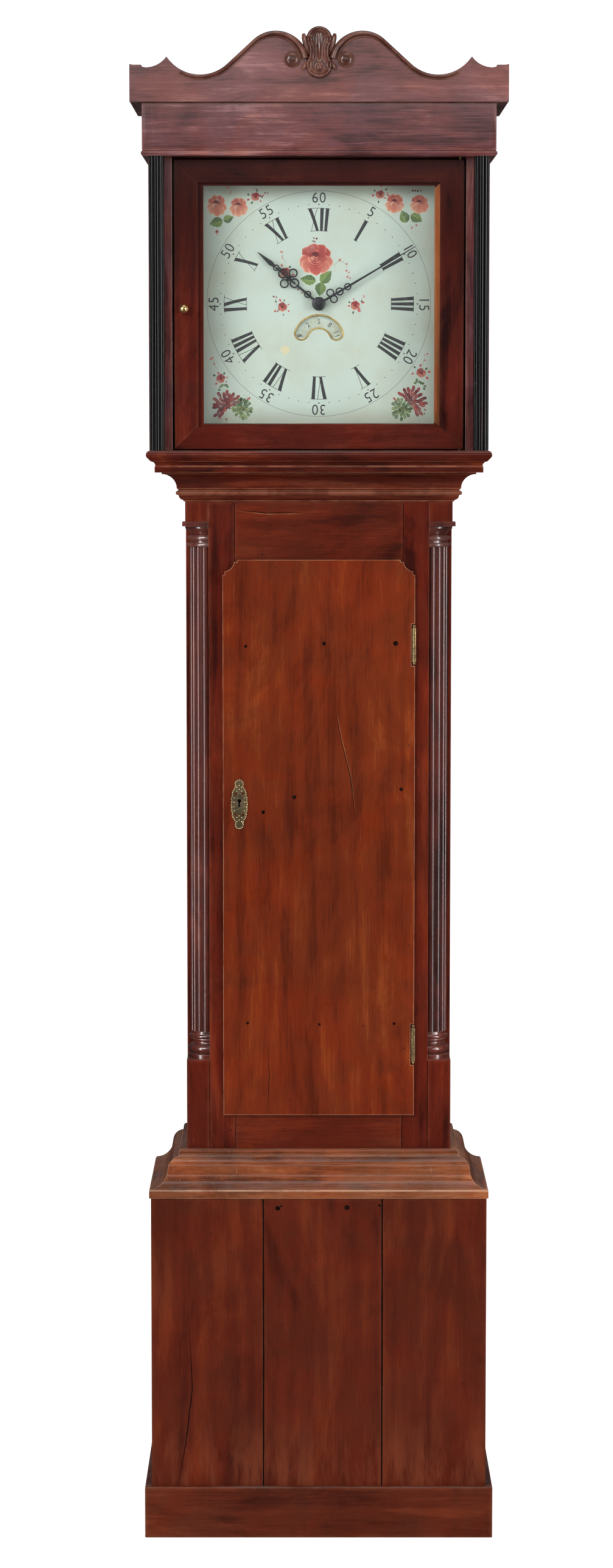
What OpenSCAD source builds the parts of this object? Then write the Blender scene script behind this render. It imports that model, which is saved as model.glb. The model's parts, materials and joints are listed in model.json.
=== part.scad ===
/* [Case widths] */
// How far the plinth stands out from the base box
plinth_step = 9.5; // [8:0.5:20]
// Width of the base box
base_w = 466; // [440:1:472]
// Width of the trunk
trunk_w = 368; // [350:1:380]
// Outer width of the hood over its sides
hood_w = 464; // [460:1:474]
// How far the frieze stands out from the hood's sides
frieze_step = 7; // [5:0.5:12]
// How far the cresting stands out from the frieze at each end
ear_w = 16; // [12:0.5:30]

/* [Case depths] */
// Depth of the base box from the back
base_d = 236; // [220:1:240]
// Depth of the trunk from the back
trunk_d = 187; // [183:1:191]
// Depth of the frieze from the back
frieze_d = 242; // [240:1:248]
// How far the cresting and its carving stand in front of the frieze
cresting_t = 16; // [12:0.5:24]

/* [Case heights] */
// Height of the plinth
plinth_h = 72; // [60:1:100]
// Height of the base box up to its moulding
base_h = 480; // [440:1:520]
// Height of the base moulding
base_mould_h = 61; // [58:1:70]
// Height of the trunk between its two mouldings
trunk_h = 902; // [890:1:960]
// Height of the throat moulding under the hood
throat_h = 40; // [36:1:48]
// Height of the hood's base moulding
hood_base_h = 30; // [26:1:36]
// Height of the hood pillars
pillar_h = 396; // [390:1:420]
// Height of the bead under the frieze
bead_h = 7; // [5:1:9]
// Height of the frieze
frieze_h = 64; // [56:1:80]

/* [Boards] */
// Thickness of sides and backboard
board_t = 12; // [10:0.5:14]
// Thickness of the base's front boards
base_front_t = 14; // [12:0.5:18]
// Gap between the base's front boards
board_gap = 1.2; // [0.4:0.2:2]
// Gap at a mitre or between two boards of one moulding
mitre_gap = 0.1; // [0.05:0.05:0.3]
// Thickness of the trunk's front frame
frame_t = 20; // [18:0.5:22]

/* [Trunk door] */
// Width of the door over its lip
door_w = 265; // [250:1:268]
// Height of the door over its lip
door_h = 774; // [740:1:790]
// How far the lip overlaps the frame at each side
lip_w = 16.5; // [15:0.5:18]
// How far the lip stands in front of the frame
lip_t = 5.7; // [5:0.1:6.5]
// Height of the bottom rail that shows under the door
bottom_rail_h = 48; // [40:1:60]
// Radius of the scooped top corners
scoop_r = 16.5; // [12:0.5:18]
// Gap all round the door
door_gap = 0.4; // [0.3:0.05:0.6]

/* [Quarter columns] */
// Width of the corner block that the quarter column sits under
corner_w = 32; // [30:0.5:34]
// Radius of the reeded shaft
shaft_r = 28; // [26:0.5:29]
// Height of the upper corner block
upper_block_h = 28; // [20:1:40]
// Height of the lower corner block
lower_block_h = 125; // [100:1:150]
// Height of the capital
capital_h = 35; // [30:1:40]
// Height of the column base
column_base_h = 38; // [34:1:44]

/* [Hood] */
// Diameter of the black pillars over the reeds
pillar_dia = 21; // [19:0.5:22]
// Distance of the pillar's axis from the hood's side
pillar_inset = 12; // [10:0.5:14]
// Width of the stiles beside the hood door
hood_stile_w = 32; // [30:0.5:34]
// Gap round the hood door
hood_door_gap = 3; // [2.5:0.5:4]
// Thickness of the hood door
hood_door_t = 20; // [18:0.5:22]
// Width of the hood door's frame round the glass
door_rail_w = 32.5; // [30:0.5:36]
// Height of the clear opening in the hood door's front
sight_h = 331; // [322:1:336]
// How far the hood slides forward to come off
hood_travel = 260; // [200:10:300]

/* [Dial and hands] */
// Side of the square dial
dial_size = 330; // [324:1:336]
// Height of the dial's centre above the hood's base
dial_rise = 230; // [228:1:232]
// Length of the minute hand
minute_hand_l = 153; // [140:1:155]
// Length of the hour hand
hour_hand_l = 109; // [95:1:112]
// Thickness of the hands
hand_t = 1.2; // [1:0.1:1.6]
// Where the minute hand points, in degrees from twelve
minute_angle = 59.5; // [0:0.5:360]
// Where the hour hand points, in degrees from twelve
hour_angle = 310; // [0:0.5:360]

/* [Movement] */
// Width of the movement plates
plate_w = 150; // [149:1:156]
// Height of the movement plates
plate_h = 155; // [153:1:165]
// Thickness of the movement plates
plate_t = 3; // [2.5:0.5:4]
// Distance between the plates
plate_gap = 53; // [52:1:56]
// Length of the pendulum from its pivot to the middle of the bob
pendulum_l = 994; // [960:1:1000]
// Diameter of the pendulum bob
bob_dia = 110; // [90:1:120]
// Radial clearance of a shaft in its hole
running_gap = 0.05; // [0.02:0.01:0.09]
// Diameter of the driving weight
weight_dia = 62; // [50:1:64]
// Height of the driving weight
weight_h = 180; // [140:5:220]
// Diameter of the rope
rope_dia = 5; // [4:0.5:6]
// Radius of the rope's centre line on its pulleys
pulley_r = 20; // [18:0.5:21]
// Diameter of the bell
bell_dia = 100; // [90:1:104]
// Distance of the weight's pulley below the dial's centre
sheave_drop = 420; // [380:10:460]
// Distance of the ring weight below the dial's centre
ring_drop = 830; // [780:10:860]

/* [Hidden] */
$fn = 48;

// Levels, measured up from the floor
seat_gap = 0.3;
base_top = base_h;
trunk_bottom = base_top + base_mould_h;
throat_bottom = trunk_bottom + trunk_h;
throat_top = throat_bottom + throat_h;
hood_bottom = throat_top + seat_gap;
pillar_bottom = hood_bottom + hood_base_h;
bead_bottom = pillar_bottom + pillar_h;
frieze_bottom = bead_bottom + bead_h;
cresting_bottom = frieze_bottom + frieze_h;
dial_z = hood_bottom + dial_rise;

// Widths and depths that follow the case
plinth_w = base_w + 2 * plinth_step;
frieze_w = hood_w + 2 * frieze_step;
cresting_w = frieze_w + 2 * ear_w;
cresting_d = frieze_d + cresting_t;

// The back of the case is a plane of constant y
back_y = cresting_d / 2;
function fy(depth) = back_y - depth;

// Trunk layout
inner_x = trunk_w / 2 - board_t;
corner_x = trunk_w / 2 - corner_w;
corner_d = trunk_d - corner_w;
door_open_w = door_w - 2 * lip_w;
door_bottom = trunk_bottom + bottom_rail_h;
door_top = door_bottom + door_h;
open_bottom = door_bottom + 8;
open_top = door_top - scoop_r - 9;
lip_front = trunk_d + door_gap + lip_t;
shaft_bottom = trunk_bottom + lower_block_h + column_base_h;
shaft_top = throat_bottom - upper_block_h - capital_h;
rebate_bottom = trunk_bottom + lower_block_h;
rebate_top = throat_bottom - upper_block_h;
frame_bottom = base_top + 14;
foot_gap = 10;

// Door hinges: two butts with their knuckles at the right edge of the lip
hinge_x = door_w / 2 - 1;
hinge_d = trunk_d + 5;
hinge_l = 47;
hinge_r = 3;
hinge_pin_r = 1.5;
knuckle_gap = 0.3;
leaf_half = hinge_l / 2 - 2;
hinge_zs = [door_bottom + 99.5, door_top - 117];
leaf_t = 1.2;
leaf_w = 14;
leaf_rear = hinge_d - 3.4;
lock_z = door_bottom + 436;
lock_x = 22.5 - door_w / 2;
bolt_t = 3.6;
bolt_half = 12;
bolt_d = trunk_d - 19.3;

// Hood layout
front_frame_d = frieze_d - 37;
frame_rear_d = front_frame_d - 15;
frieze_t = 18;
return_t = 14;
roof_t = 8;
packing_h = 36;
pillar_d = frieze_d - 5 - pillar_dia / 2;
hood_inner_x = hood_w / 2 - board_t;
pillar_x = hood_w / 2 - pillar_inset;
hood_open_w = hood_w - 2 * hood_stile_w;
mask_rear = 159.5;
mask_t = 12;
hood_door_w = hood_open_w - 2 * hood_door_gap;
sight_w = hood_door_w - 2 * door_rail_w;
hood_door_bottom = pillar_bottom + 2;
hood_door_top = bead_bottom - 3;
sight_z = dial_z - 3;
pivot_x = hood_door_w / 2 - 4.5;
pivot_d = front_frame_d - 5;
pivot_r = 2;
pivot_l = 7.7;
fillet_w = 7;
glass_t = 2;
glass_d = front_frame_d - 10 - mitre_gap - glass_t;
slide_gap = 0.4;
back_top = cresting_bottom - 10;
wall_screw_r = 3.5;
door_rear_d = front_frame_d - hood_door_t;
sight_low = sight_z - sight_h / 2;
sight_high = sight_z + sight_h / 2;

// Movement layout: depths from the back, places on the plates
back_plate_d = 72;
front_plate_d = back_plate_d + plate_t + plate_gap;
dial_rear = 156;
dial_t = 2;
hour_hand_d = dial_rear + 6;
minute_hand_d = dial_rear + 9.5;
hour_pipe_r = 5;
minute_pipe_r = 4.2;
plate_bottom = dial_z - 73;
seat_t = 20;
seat_rear = 62;
seat_front = 142;
seat_top = plate_bottom;
seat_bottom = seat_top - seat_t;
rope_d = 100;
great_x = 42;
great_z = dial_z - 41;
second_x = 30;
second_z = dial_z - 5;
escape_z = dial_z + 19.6;
anchor_z = escape_z + 45;
hammer_x = -50;
hammer_z = dial_z + 37;
bell_z = dial_z + 94;
great_wheel_d = 120;
second_wheel_d = 112;
escape_wheel_d = 86;
motion_d = front_plate_d + plate_t + 3;
wheel_t = 2;
end_shake = 0.3;
great_tip = 29.2;
second_tip = 33.5;
hour_tip = 53.9;
escape_tip = 20;
pendulum_d = 45;
bob_rod_r = 2.5;
bob_z = anchor_z - pendulum_l;
date_z = dial_z - 50;
date_hole_r = 34;
date_hub_r = 18;

// Rope layout: the weight hangs from the inner loop, the ring weight from the outer one
sheave_r = great_x - pulley_r;
outer_x = great_x + pulley_r;
sheave_z = dial_z - sheave_drop;
ring_z = dial_z - ring_drop;
ring_d = 148;
ring_hole_r = 6;
weight_top = sheave_z - 42;
rope_gap = 0.3;

module slab(x0, x1, d0, d1, z0, z1) {
    translate([x0, fy(d1), z0]) cube([x1 - x0, d1 - d0, z1 - z0]);
}

module both_sides() {
    children();
    mirror([1, 0, 0]) children();
}

// A rod along the depth, from depth d0 at its rear to d1 at its front
module rod(r, d0, d1, x, z) {
    translate([x, fy(d0), z]) rotate([90, 0, 0]) cylinder(r = r, h = d1 - d0);
}

// A flat shape drawn as seen from the front, x to the right and y up
module face_cut(d0, d1) {
    translate([0, fy(d0), 0]) rotate([90, 0, 0]) linear_extrude(d1 - d0) children();
}

// A moulding along the front and both sides, mitred at the corners. Its profile has x outwards, y up.
module wrapped_moulding(half, depth, reach) {
    far = 90;
    intersection() {
        translate([-half - far, fy(depth), 0]) mirror([0, 1, 0]) rotate([90, 0, 90])
            linear_extrude(2 * (half + far)) children();
        linear_extrude(3000) polygon([[-half - far, fy(depth + far)], [half + far, fy(depth + far)],
            [half - reach, fy(depth - reach)], [-half + reach, fy(depth - reach)]]);
    }
    both_sides() intersection() {
        translate([half, back_y, 0]) rotate([90, 0, 0]) linear_extrude(depth + far) children();
        linear_extrude(3000) translate([mitre_gap, mitre_gap]) polygon([[half + far, fy(depth + far)],
            [half - reach, fy(depth - reach)], [half - reach, back_y - mitre_gap],
            [half + far, back_y - mitre_gap]]);
    }
}

function arc_points(cx, cy, r, from, to, steps) =
    [for (i = [0 : steps]) [cx + r * cos(from + (to - from) * i / steps),
        cy + r * sin(from + (to - from) * i / steps)]];

// Toothed wheel outline: four points for each tooth
module toothed_disc(teeth, tip_r, tooth_h) {
    step = 360 / teeth;
    polygon([for (i = [0 : teeth - 1], k = [0 : 3])
        let (a = step * (i + [0, 0.28, 0.44, 0.84][k]), r = (k == 0 || k == 3) ? tip_r - tooth_h : tip_r)
        [r * cos(a), r * sin(a)]]);
}

module crossed_wheel(teeth, tip_r, hub_r) {
    difference() {
        toothed_disc(teeth, tip_r, 2);
        difference() {
            circle(r = tip_r - 5);
            circle(r = hub_r);
            for (a = [0, 90]) rotate(a) square([2 * tip_r, 3], center = true);
        }
    }
}

// Plinth and base box
module plinth_boards() color("saddlebrown") {
    slab(-plinth_w / 2, plinth_w / 2, base_d, base_d + plinth_step, 0, plinth_h);
    both_sides() slab(base_w / 2, plinth_w / 2, 0, base_d - mitre_gap, 0, plinth_h);
}

module base_front_boards() color("sienna") {
    left_w = 156;
    right_w = 145;
    seams = [-base_w / 2, left_w - base_w / 2, base_w / 2 - right_w, base_w / 2];
    for (i = [0 : 2])
        slab(seams[i] + (i == 0 ? 0 : board_gap / 2), seams[i + 1] - (i == 2 ? 0 : board_gap / 2),
            base_d - base_front_t, base_d, foot_gap, base_top);
}

module base_sides() color("sienna")
    both_sides() slab(base_w / 2 - board_t, base_w / 2, 0, base_d - base_front_t, foot_gap, base_top);

module base_floor() color("peru") {
    x = base_w / 2 - board_t;
    slab(-x, x, board_t, base_d - base_front_t, plinth_h, plinth_h + board_t);
}

module base_profile() {
    step = (base_w - trunk_w) / 2;
    band_h = 12;
    inner = -10;
    polygon(concat([[inner, base_top], [step + 2.5, base_top], [step + 2.5, base_top + band_h - 2],
        [step + 1, base_top + band_h - 0.5]],
        arc_points(step + 1, base_top + band_h + 24, 24, 270, 180, 10),
        arc_points(step - 39, base_top + band_h + 24, 16, 0, 84, 8),
        arc_points(7, trunk_bottom - 3.5, 3.5, -60, 90, 8),
        [[0, trunk_bottom], [0, frame_bottom], [inner, frame_bottom]]));
}

module base_moulding() color("sienna")
    wrapped_moulding(trunk_w / 2, trunk_d, board_t) base_profile();

// Backboard: one full-height board, pieced out behind the base and the hood
module backboard() color("peru") difference() {
    union() {
        slab(-inner_x, inner_x, 0, board_t, 0, back_top);
        both_sides() slab(inner_x + mitre_gap, base_w / 2 - board_t, 0, board_t, 0, base_top);
        both_sides() slab(inner_x + mitre_gap, hood_inner_x - slide_gap, 0, board_t, throat_top, back_top);
    }
    rod(wall_screw_r, -1, board_t + 1, 0, cresting_bottom - 60);
}

// Trunk
module trunk_sides() color("sienna") both_sides() {
    slab(inner_x, trunk_w / 2, 0, corner_d, frame_bottom, throat_top);
    slab(inner_x, trunk_w / 2, board_t, seat_front, throat_top, seat_bottom);
}

module hinge_recess() {
    for (z = hinge_zs)
        slab(hinge_x - leaf_w, hinge_x, trunk_d - leaf_t, trunk_d + 1, z - leaf_half, z + leaf_half);
}

module trunk_stiles() color("maroon") difference() {
    both_sides() slab(door_open_w / 2, corner_x, trunk_d - frame_t, trunk_d, frame_bottom, throat_bottom);
    hinge_recess();
    slab(-door_open_w / 2 - 11, -door_open_w / 2 + 1, trunk_d - frame_t - 1, bolt_d + bolt_t + 0.5,
        lock_z - bolt_half - 0.5, lock_z + bolt_half + 0.5);
}

module trunk_rails() color("maroon") {
    x = door_open_w / 2;
    slab(-x, x, trunk_d - frame_t, trunk_d, open_top, throat_bottom);
    slab(-x, x, trunk_d - frame_t, trunk_d, frame_bottom, open_bottom);
}

// Corner posts: square blocks at both ends, rebated between them for the quarter columns
module corner_posts() color("maroon") both_sides() {
    slab(corner_x - 14, corner_x, corner_d - 8, trunk_d - frame_t, frame_bottom, throat_bottom);
    slab(corner_x - 1, inner_x, corner_d - 8, corner_d, frame_bottom, throat_bottom);
    slab(corner_x, trunk_w / 2, corner_d, trunk_d, frame_bottom, rebate_bottom);
    slab(corner_x, trunk_w / 2, corner_d, trunk_d, rebate_top, throat_bottom);
}

// Keeps the quarter of a turned piece that faces front and outwards
module quarter_at_corner() {
    both_sides() translate([corner_x, fy(corner_d), 0]) intersection() {
        children();
        translate([0, -60, 0]) cube([60, 60, 3000]);
    }
}

module column_shafts() color("firebrick") {
    reeds = 4;
    step = 90 / reeds;
    reed_r = shaft_r * sin(step / 2) * 0.96;
    both_sides() translate([corner_x, fy(corner_d), shaft_bottom]) linear_extrude(shaft_top - shaft_bottom)
        intersection() {
            union() {
                circle(r = shaft_r - reed_r - 0.6);
                for (i = [0 : reeds - 1]) rotate(-step * (i + 0.5)) translate([shaft_r - reed_r, 0])
                    circle(r = reed_r, $fn = 24);
            }
            translate([0, -60]) square(60);
        }
}

module capital_profile() {
    polygon(concat([[0, 0], [shaft_r, 0]], arc_points(shaft_r, 3, 3, -90, 90, 6),
        [[shaft_r - 1, 6], [shaft_r - 1, 9]], arc_points(shaft_r - 1, 12.5, 3.5, -90, 90, 6),
        [[shaft_r - 2, 16], [shaft_r - 1, 18]], arc_points(shaft_r - 3, 28, 8, -60, 0, 6),
        [[corner_w - 1, capital_h - 6], [0, capital_h - 6]]));
}

module column_base_profile() {
    top = column_base_h;
    polygon(concat([[0, 0], [corner_w - 1, 0], [corner_w - 1, 6], [shaft_r, 6.5]],
        arc_points(shaft_r - 3, 13.5, 6, -80, 80, 8), [[shaft_r - 1, 20]],
        arc_points(shaft_r + 1, 23.5, 3.5, 260, 110, 6), [[shaft_r - 0.5, 27.5]],
        arc_points(shaft_r - 1, 31, 3.2, -80, 80, 6), [[shaft_r - 1, top], [0, top]]));
}

module column_turnings() color("firebrick") {
    quarter_at_corner() translate([0, 0, shaft_top]) rotate_extrude() capital_profile();
    quarter_at_corner() translate([0, 0, rebate_bottom]) rotate_extrude() column_base_profile();
    both_sides() slab(corner_x, trunk_w / 2 + 4, corner_d, trunk_d + 4, rebate_top - 6, rebate_top);
}

module throat_profile() {
    bead = 6;
    reach = (hood_w - trunk_w) / 2 - 17;
    polygon(concat([[-board_t, throat_bottom], [2, throat_bottom], [2, throat_bottom + 1.5]],
        arc_points(1.5, throat_bottom + 9, 7, -80, 0, 5),
        arc_points(9.5, throat_bottom + 9 + bead / 2, bead / 2, -90, 90, 6),
        [[8.5, throat_bottom + 10 + bead]],
        arc_points(reach, throat_bottom + 12 + bead, throat_h - 14 - bead, 180, 90, 8),
        [[reach, throat_top], [-board_t, throat_top]]));
}

module throat_moulding() color("firebrick") difference() {
    wrapped_moulding(trunk_w / 2, trunk_d, board_t) throat_profile();
    slab(-trunk_w / 2, trunk_w / 2, -5, corner_d, throat_bottom - 1, throat_top + 1);
}

module seatboard() color("peru") difference() {
    slab(-trunk_w / 2, trunk_w / 2, seat_rear, seat_front, seat_bottom, seat_top);
    for (x = [-outer_x, -sheave_r, sheave_r, outer_x]) translate([x, fy(rope_d), seat_bottom - 1])
        cylinder(r = 9, h = seat_t + 2);
}

// Brass butts of the trunk door
module knuckles(first, pitch) {
    for (z = hinge_zs, i = [first : 2 : 4])
        translate([hinge_x, fy(hinge_d), z - hinge_l / 2 + i * pitch])
            cylinder(r = hinge_r, h = pitch - knuckle_gap);
}

module frame_hinge_leaves() color("goldenrod") {
    pitch = hinge_l / 5;
    knuckle_webs(0, pitch, trunk_d - leaf_t, hinge_d);
    difference() {
        knuckles(0, pitch);
        for (z = hinge_zs) translate([hinge_x, fy(hinge_d), z - hinge_l])
            cylinder(r = hinge_pin_r, h = 2 * hinge_l);
    }
    for (z = hinge_zs) {
        slab(hinge_x - leaf_w, hinge_x - 0.2, trunk_d - leaf_t, trunk_d, z - leaf_half, z + leaf_half);
        translate([hinge_x, fy(hinge_d), z - hinge_l / 2 - 1.5]) cylinder(r = hinge_pin_r, h = hinge_l + 3);
        for (s = [-1, 1]) translate([hinge_x, fy(hinge_d), z + s * (hinge_l / 2 + 2.5)]) sphere(r = 2.2);
    }
}

module knuckle_webs(first, pitch, d0, d1) {
    for (z = hinge_zs, i = [first : 2 : 4])
        slab(hinge_x - 1.6, hinge_x - 0.2, d0, d1 - 2, z - hinge_l / 2 + max(i * pitch, 2.3),
            z - hinge_l / 2 + min((i + 1) * pitch - knuckle_gap, hinge_l - 2.3));
}

module door_hinge_leaves() color("goldenrod") {
    pitch = hinge_l / 5;
    difference() {
        union() {
            knuckles(1, pitch);
            for (z = hinge_zs, i = [1, 3])
                slab(hinge_x - 4.6, hinge_x, leaf_rear, leaf_rear + leaf_t,
                    z - hinge_l / 2 + i * pitch, z - hinge_l / 2 + (i + 1) * pitch - knuckle_gap);
        }
        for (z = hinge_zs) translate([hinge_x, fy(hinge_d), z - hinge_l])
            cylinder(r = hinge_pin_r + running_gap, h = 2 * hinge_l);
    }
    for (z = hinge_zs)
        slab(hinge_x - leaf_w, hinge_x - 4.5, leaf_rear, leaf_rear + leaf_t, z - leaf_half, z + leaf_half);
}

// Trunk door: one board with a lip that lies on the frame, its top corners scooped out
module door_outline() difference() {
    translate([-door_w / 2, door_bottom]) square([door_w, door_h]);
    for (s = [-1, 1]) translate([s * door_w / 2, door_top]) {
        circle(r = scoop_r);
        square([2 * (scoop_r + 4), 6], center = true);
        square([6, 2 * (scoop_r + 4)], center = true);
    }
}

module trunk_door() color("sienna") difference() {
    union() {
        face_cut(trunk_d + door_gap, lip_front) door_outline();
        slab(-door_open_w / 2 + 1, door_open_w / 2 - 1, trunk_d - 15, trunk_d + door_gap + 1,
            open_bottom + 1, open_top - 1);
    }
    for (z = hinge_zs) {
        slab(hinge_x - 4, door_w / 2 + 1, trunk_d - 1, lip_front + 1, z - leaf_half - 7.5,
            z + leaf_half + 7.5);
        slab(hinge_x - leaf_w - 0.1, hinge_x - 3.9, leaf_rear - 0.1, leaf_rear + leaf_t + 0.1,
            z - leaf_half - 0.1, z + leaf_half + 0.1);
    }
    face_cut(trunk_d - 16, lip_front + 1) keyhole();
}

module keyhole() {
    translate([lock_x, lock_z + 5]) circle(r = 2.6);
    translate([lock_x - 1.2, lock_z - 4]) square([2.4, 9]);
}

module escutcheon() color("tan") face_cut(lip_front, lip_front + 1.2) difference() {
    for (k = [-4 : 4]) translate([lock_x, lock_z + k * 7.1])
        circle(r = 11.8 - 0.34 * k * k - (abs(k) == 3 ? 1.6 : 0));
    keyhole();
    for (s = [-1, 1], k = [-1, 1]) translate([lock_x + s * 5, lock_z + k * 15]) circle(r = 1.8, $fn = 24);
}

module lock_case() color("dimgray") difference() {
    edge = -door_open_w / 2;
    half = bolt_half + 0.3;
    slab(edge + 2, edge + 42, trunk_d - 25, trunk_d - 15, lock_z - 25, lock_z + 25);
    slab(edge + 1, edge + 26, bolt_d - 0.3, bolt_d + bolt_t + 0.3, lock_z - half, lock_z + half);
    face_cut(trunk_d - 26, trunk_d - 14) keyhole();
}

module lock_bolt() color("gold")
    slab(-door_open_w / 2 + 2.4, -door_open_w / 2 + 24, bolt_d, bolt_d + bolt_t, lock_z - bolt_half,
        lock_z + bolt_half);

// Hood
module hood_sides() color("maroon")
    both_sides() slab(hood_inner_x, hood_w / 2, 0, frame_rear_d, pillar_bottom, bead_bottom);

module hood_stiles() color("maroon") both_sides()
    slab(hood_open_w / 2, hood_w / 2, frame_rear_d, front_frame_d, pillar_bottom, bead_bottom);

module hood_profile() {
    z = hood_bottom;
    polygon(concat([[-board_t, z], [-board_t, z + hood_base_h]],
        arc_points(-2.5, z + hood_base_h - 6, 6, 90, -60, 8),
        [[-1, z + 17], [-3, z + 15]],
        arc_points(-3, z + 9, 6, 100, 180, 6),
        [[-8, z + 8], [-8, z]]));
}

module hood_base_moulding() color("sienna") {
    half = hood_w / 2;
    front_d = pillar_d + pillar_dia / 2 + 1;
    rail_d = front_frame_d - 10;
    runner_w = 22;
    edge = hood_inner_x - mitre_gap;
    wrapped_moulding(half, front_d, board_t) hood_profile();
    slab(-edge, edge, rail_d, front_d - board_t - mitre_gap, hood_bottom, pillar_bottom);
    both_sides() slab(hood_inner_x - runner_w, edge, board_t + slide_gap, rail_d - mitre_gap,
        hood_bottom, pillar_bottom);
}

module hood_pillars() color("black") {
    reeds = 12;
    reed_r = 2.6;
    both_sides() translate([pillar_x, fy(pillar_d), pillar_bottom]) linear_extrude(pillar_h) union() {
        circle(r = pillar_dia / 2 - 2.2);
        for (i = [0 : reeds - 1]) rotate(i * 360 / reeds) translate([pillar_dia / 2 - reed_r, 0])
            circle(r = reed_r, $fn = 24);
    }
}

module dial_mask() color("maroon") difference() {
    slab(-hood_inner_x, hood_inner_x, mask_rear, mask_rear + mask_t, pillar_bottom, frieze_bottom);
    slab(-dial_size / 2 + 3.5, dial_size / 2 - 3.5, mask_rear - 1, mask_rear + mask_t + 1,
        dial_z - dial_size / 2 + 1.5, dial_z + dial_size / 2 - 1.5);
}

module frieze_boards() color("brown") {
    x = frieze_w / 2;
    slab(-x, x, frieze_d - frieze_t, frieze_d, frieze_bottom, cresting_bottom);
    both_sides() slab(x - return_t, x, 0, frieze_d - frieze_t - mitre_gap, frieze_bottom, cresting_bottom);
}

module bead_profile() {
    r = bead_h / 2;
    polygon(concat([[-frieze_t, bead_bottom], [-1.5, bead_bottom]],
        arc_points(-r + 1.4, bead_bottom + r, r, -80, 80, 8),
        [[-1.5, frieze_bottom], [-frieze_t, frieze_bottom]]));
}

module frieze_bead() color("brown") {
    edge = frieze_w / 2 - frieze_t - mitre_gap;
    wrapped_moulding(frieze_w / 2, frieze_d, frieze_t) bead_profile();
    slab(-edge, edge, frame_rear_d, frieze_d - frieze_t - mitre_gap, bead_bottom,
        frieze_bottom);
}

// Roof board, cornice returns and the packing piece behind the cresting
module hood_top_boards() color("brown") {
    x = frieze_w / 2;
    roof_top = cresting_bottom + roof_t;
    front_d = frieze_d - mitre_gap;
    slab(-x, x, 0, frieze_d, cresting_bottom, roof_top);
    both_sides() slab(x + mitre_gap, cresting_w / 2, 0, front_d, cresting_bottom, cresting_bottom + ear_h);
    both_sides() slab(x - return_t, x, 0, front_d, roof_top + mitre_gap, cresting_bottom + packing_h);
}

// Cresting: heights above its lower edge, places from the centre line
ear_h = 50;
dip_x = cresting_w / 2 - 22;
dip_h = 45.5;
dip_r = 34.3;
carving_t = 7;
carving_d = cresting_d - carving_t;
cusp_x = cresting_w / 2 - 50;
cusp_h = 60;
bowl_x = cresting_w / 2 - 95;
bowl_h = 90;
bowl_r = 54;
hump_x = 58;
hump_h = 49;
hump_r = 45;
scroll_start = 134;
scroll_end = 12;
scroll_end_w = 13;
boss_x = 36;
boss_h = 56;
boss_r = 11;

function left_outline() = concat([[-cresting_w / 2, 0], [-cresting_w / 2, ear_h], [-dip_x, dip_h]],
    arc_points(-dip_x, dip_h + dip_r, dip_r, -88, -35.5, 5),
    [[-cusp_x, cusp_h]],
    arc_points(-bowl_x, bowl_h, bowl_r, 216, 314, 14),
    arc_points(-hump_x, hump_h, hump_r, 134, 32, 14));

function mirrored(points) = [for (i = [len(points) - 1 : -1 : 0]) [-points[i][0], points[i][1]]];

module cresting_board() color("brown") translate([0, 0, cresting_bottom])
    face_cut(frieze_d, carving_d) polygon(concat(left_outline(), mirrored(left_outline())));

// Raised moulding that follows the upper edge inwards and ends in a round boss
module scroll_half() {
    start_w = 7;
    steps = 16;
    edge = concat(arc_points(-bowl_x, bowl_h, bowl_r, 242, 314, 10),
        arc_points(-hump_x, hump_h, hump_r, scroll_start, scroll_end, steps));
    inner = concat(arc_points(-bowl_x, bowl_h, bowl_r + start_w, 242, 314, 10),
        [for (i = [0 : steps])
            let (a = scroll_start + (scroll_end - scroll_start) * i / steps,
                w = start_w + (scroll_end_w - start_w) * i / steps)
            [-hump_x + (hump_r - w) * cos(a), hump_h + (hump_r - w) * sin(a)]]);
    polygon(concat(edge, [for (i = [len(inner) - 1 : -1 : 0]) inner[i]]));
}

module cresting_scrolls() color("sienna") both_sides() translate([0, 0, cresting_bottom]) {
    face_cut(carving_d, cresting_d) scroll_half();
    translate([-boss_x, fy(carving_d), boss_h]) intersection() {
        sphere(r = boss_r);
        translate([-boss_r, -carving_t, -boss_r]) cube([2 * boss_r, carving_t, 2 * boss_r]);
    }
}

// Leaf beside the shield, between two circles
module leaf_lobe(x0, z0, r0, x1, z1, r1) hull() {
    translate([x0, z0]) circle(r = r0);
    translate([x1, z1]) circle(r = r1);
}

module cartouche_outline() {
    waist = 28;
    difference() {
        union() {
            translate([0, 82.8]) circle(r = 17.6);
            translate([0, 48.2]) circle(r = 18);
            translate([-waist / 2, 48]) square([waist, 35]);
            for (s = [-1, 1]) {
                leaf_lobe(s * 20, 88, 3, s * 17, 76, 4);
                leaf_lobe(s * 17, 76, 4, s * 12, 62, 1.5);
                leaf_lobe(s * 14, 54, 3, s * 21.5, 43.5, 3);
            }
        }
        for (s = [-1, 1]) translate([s * boss_x, boss_h]) circle(r = boss_r + 0.4);
        for (s = [-1, 1]) translate([s * hump_x, hump_h]) difference() {
            circle(r = hump_r + 0.3);
            circle(r = hump_r - scroll_end_w - 0.4);
            translate([-100, -100]) square([200, 99.6 + (hump_r - scroll_end_w) * sin(scroll_end)]);
        }
    }
}

module cartouche() color("sienna") translate([0, 0, cresting_bottom])
    face_cut(carving_d, cresting_d) cartouche_outline();

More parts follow.
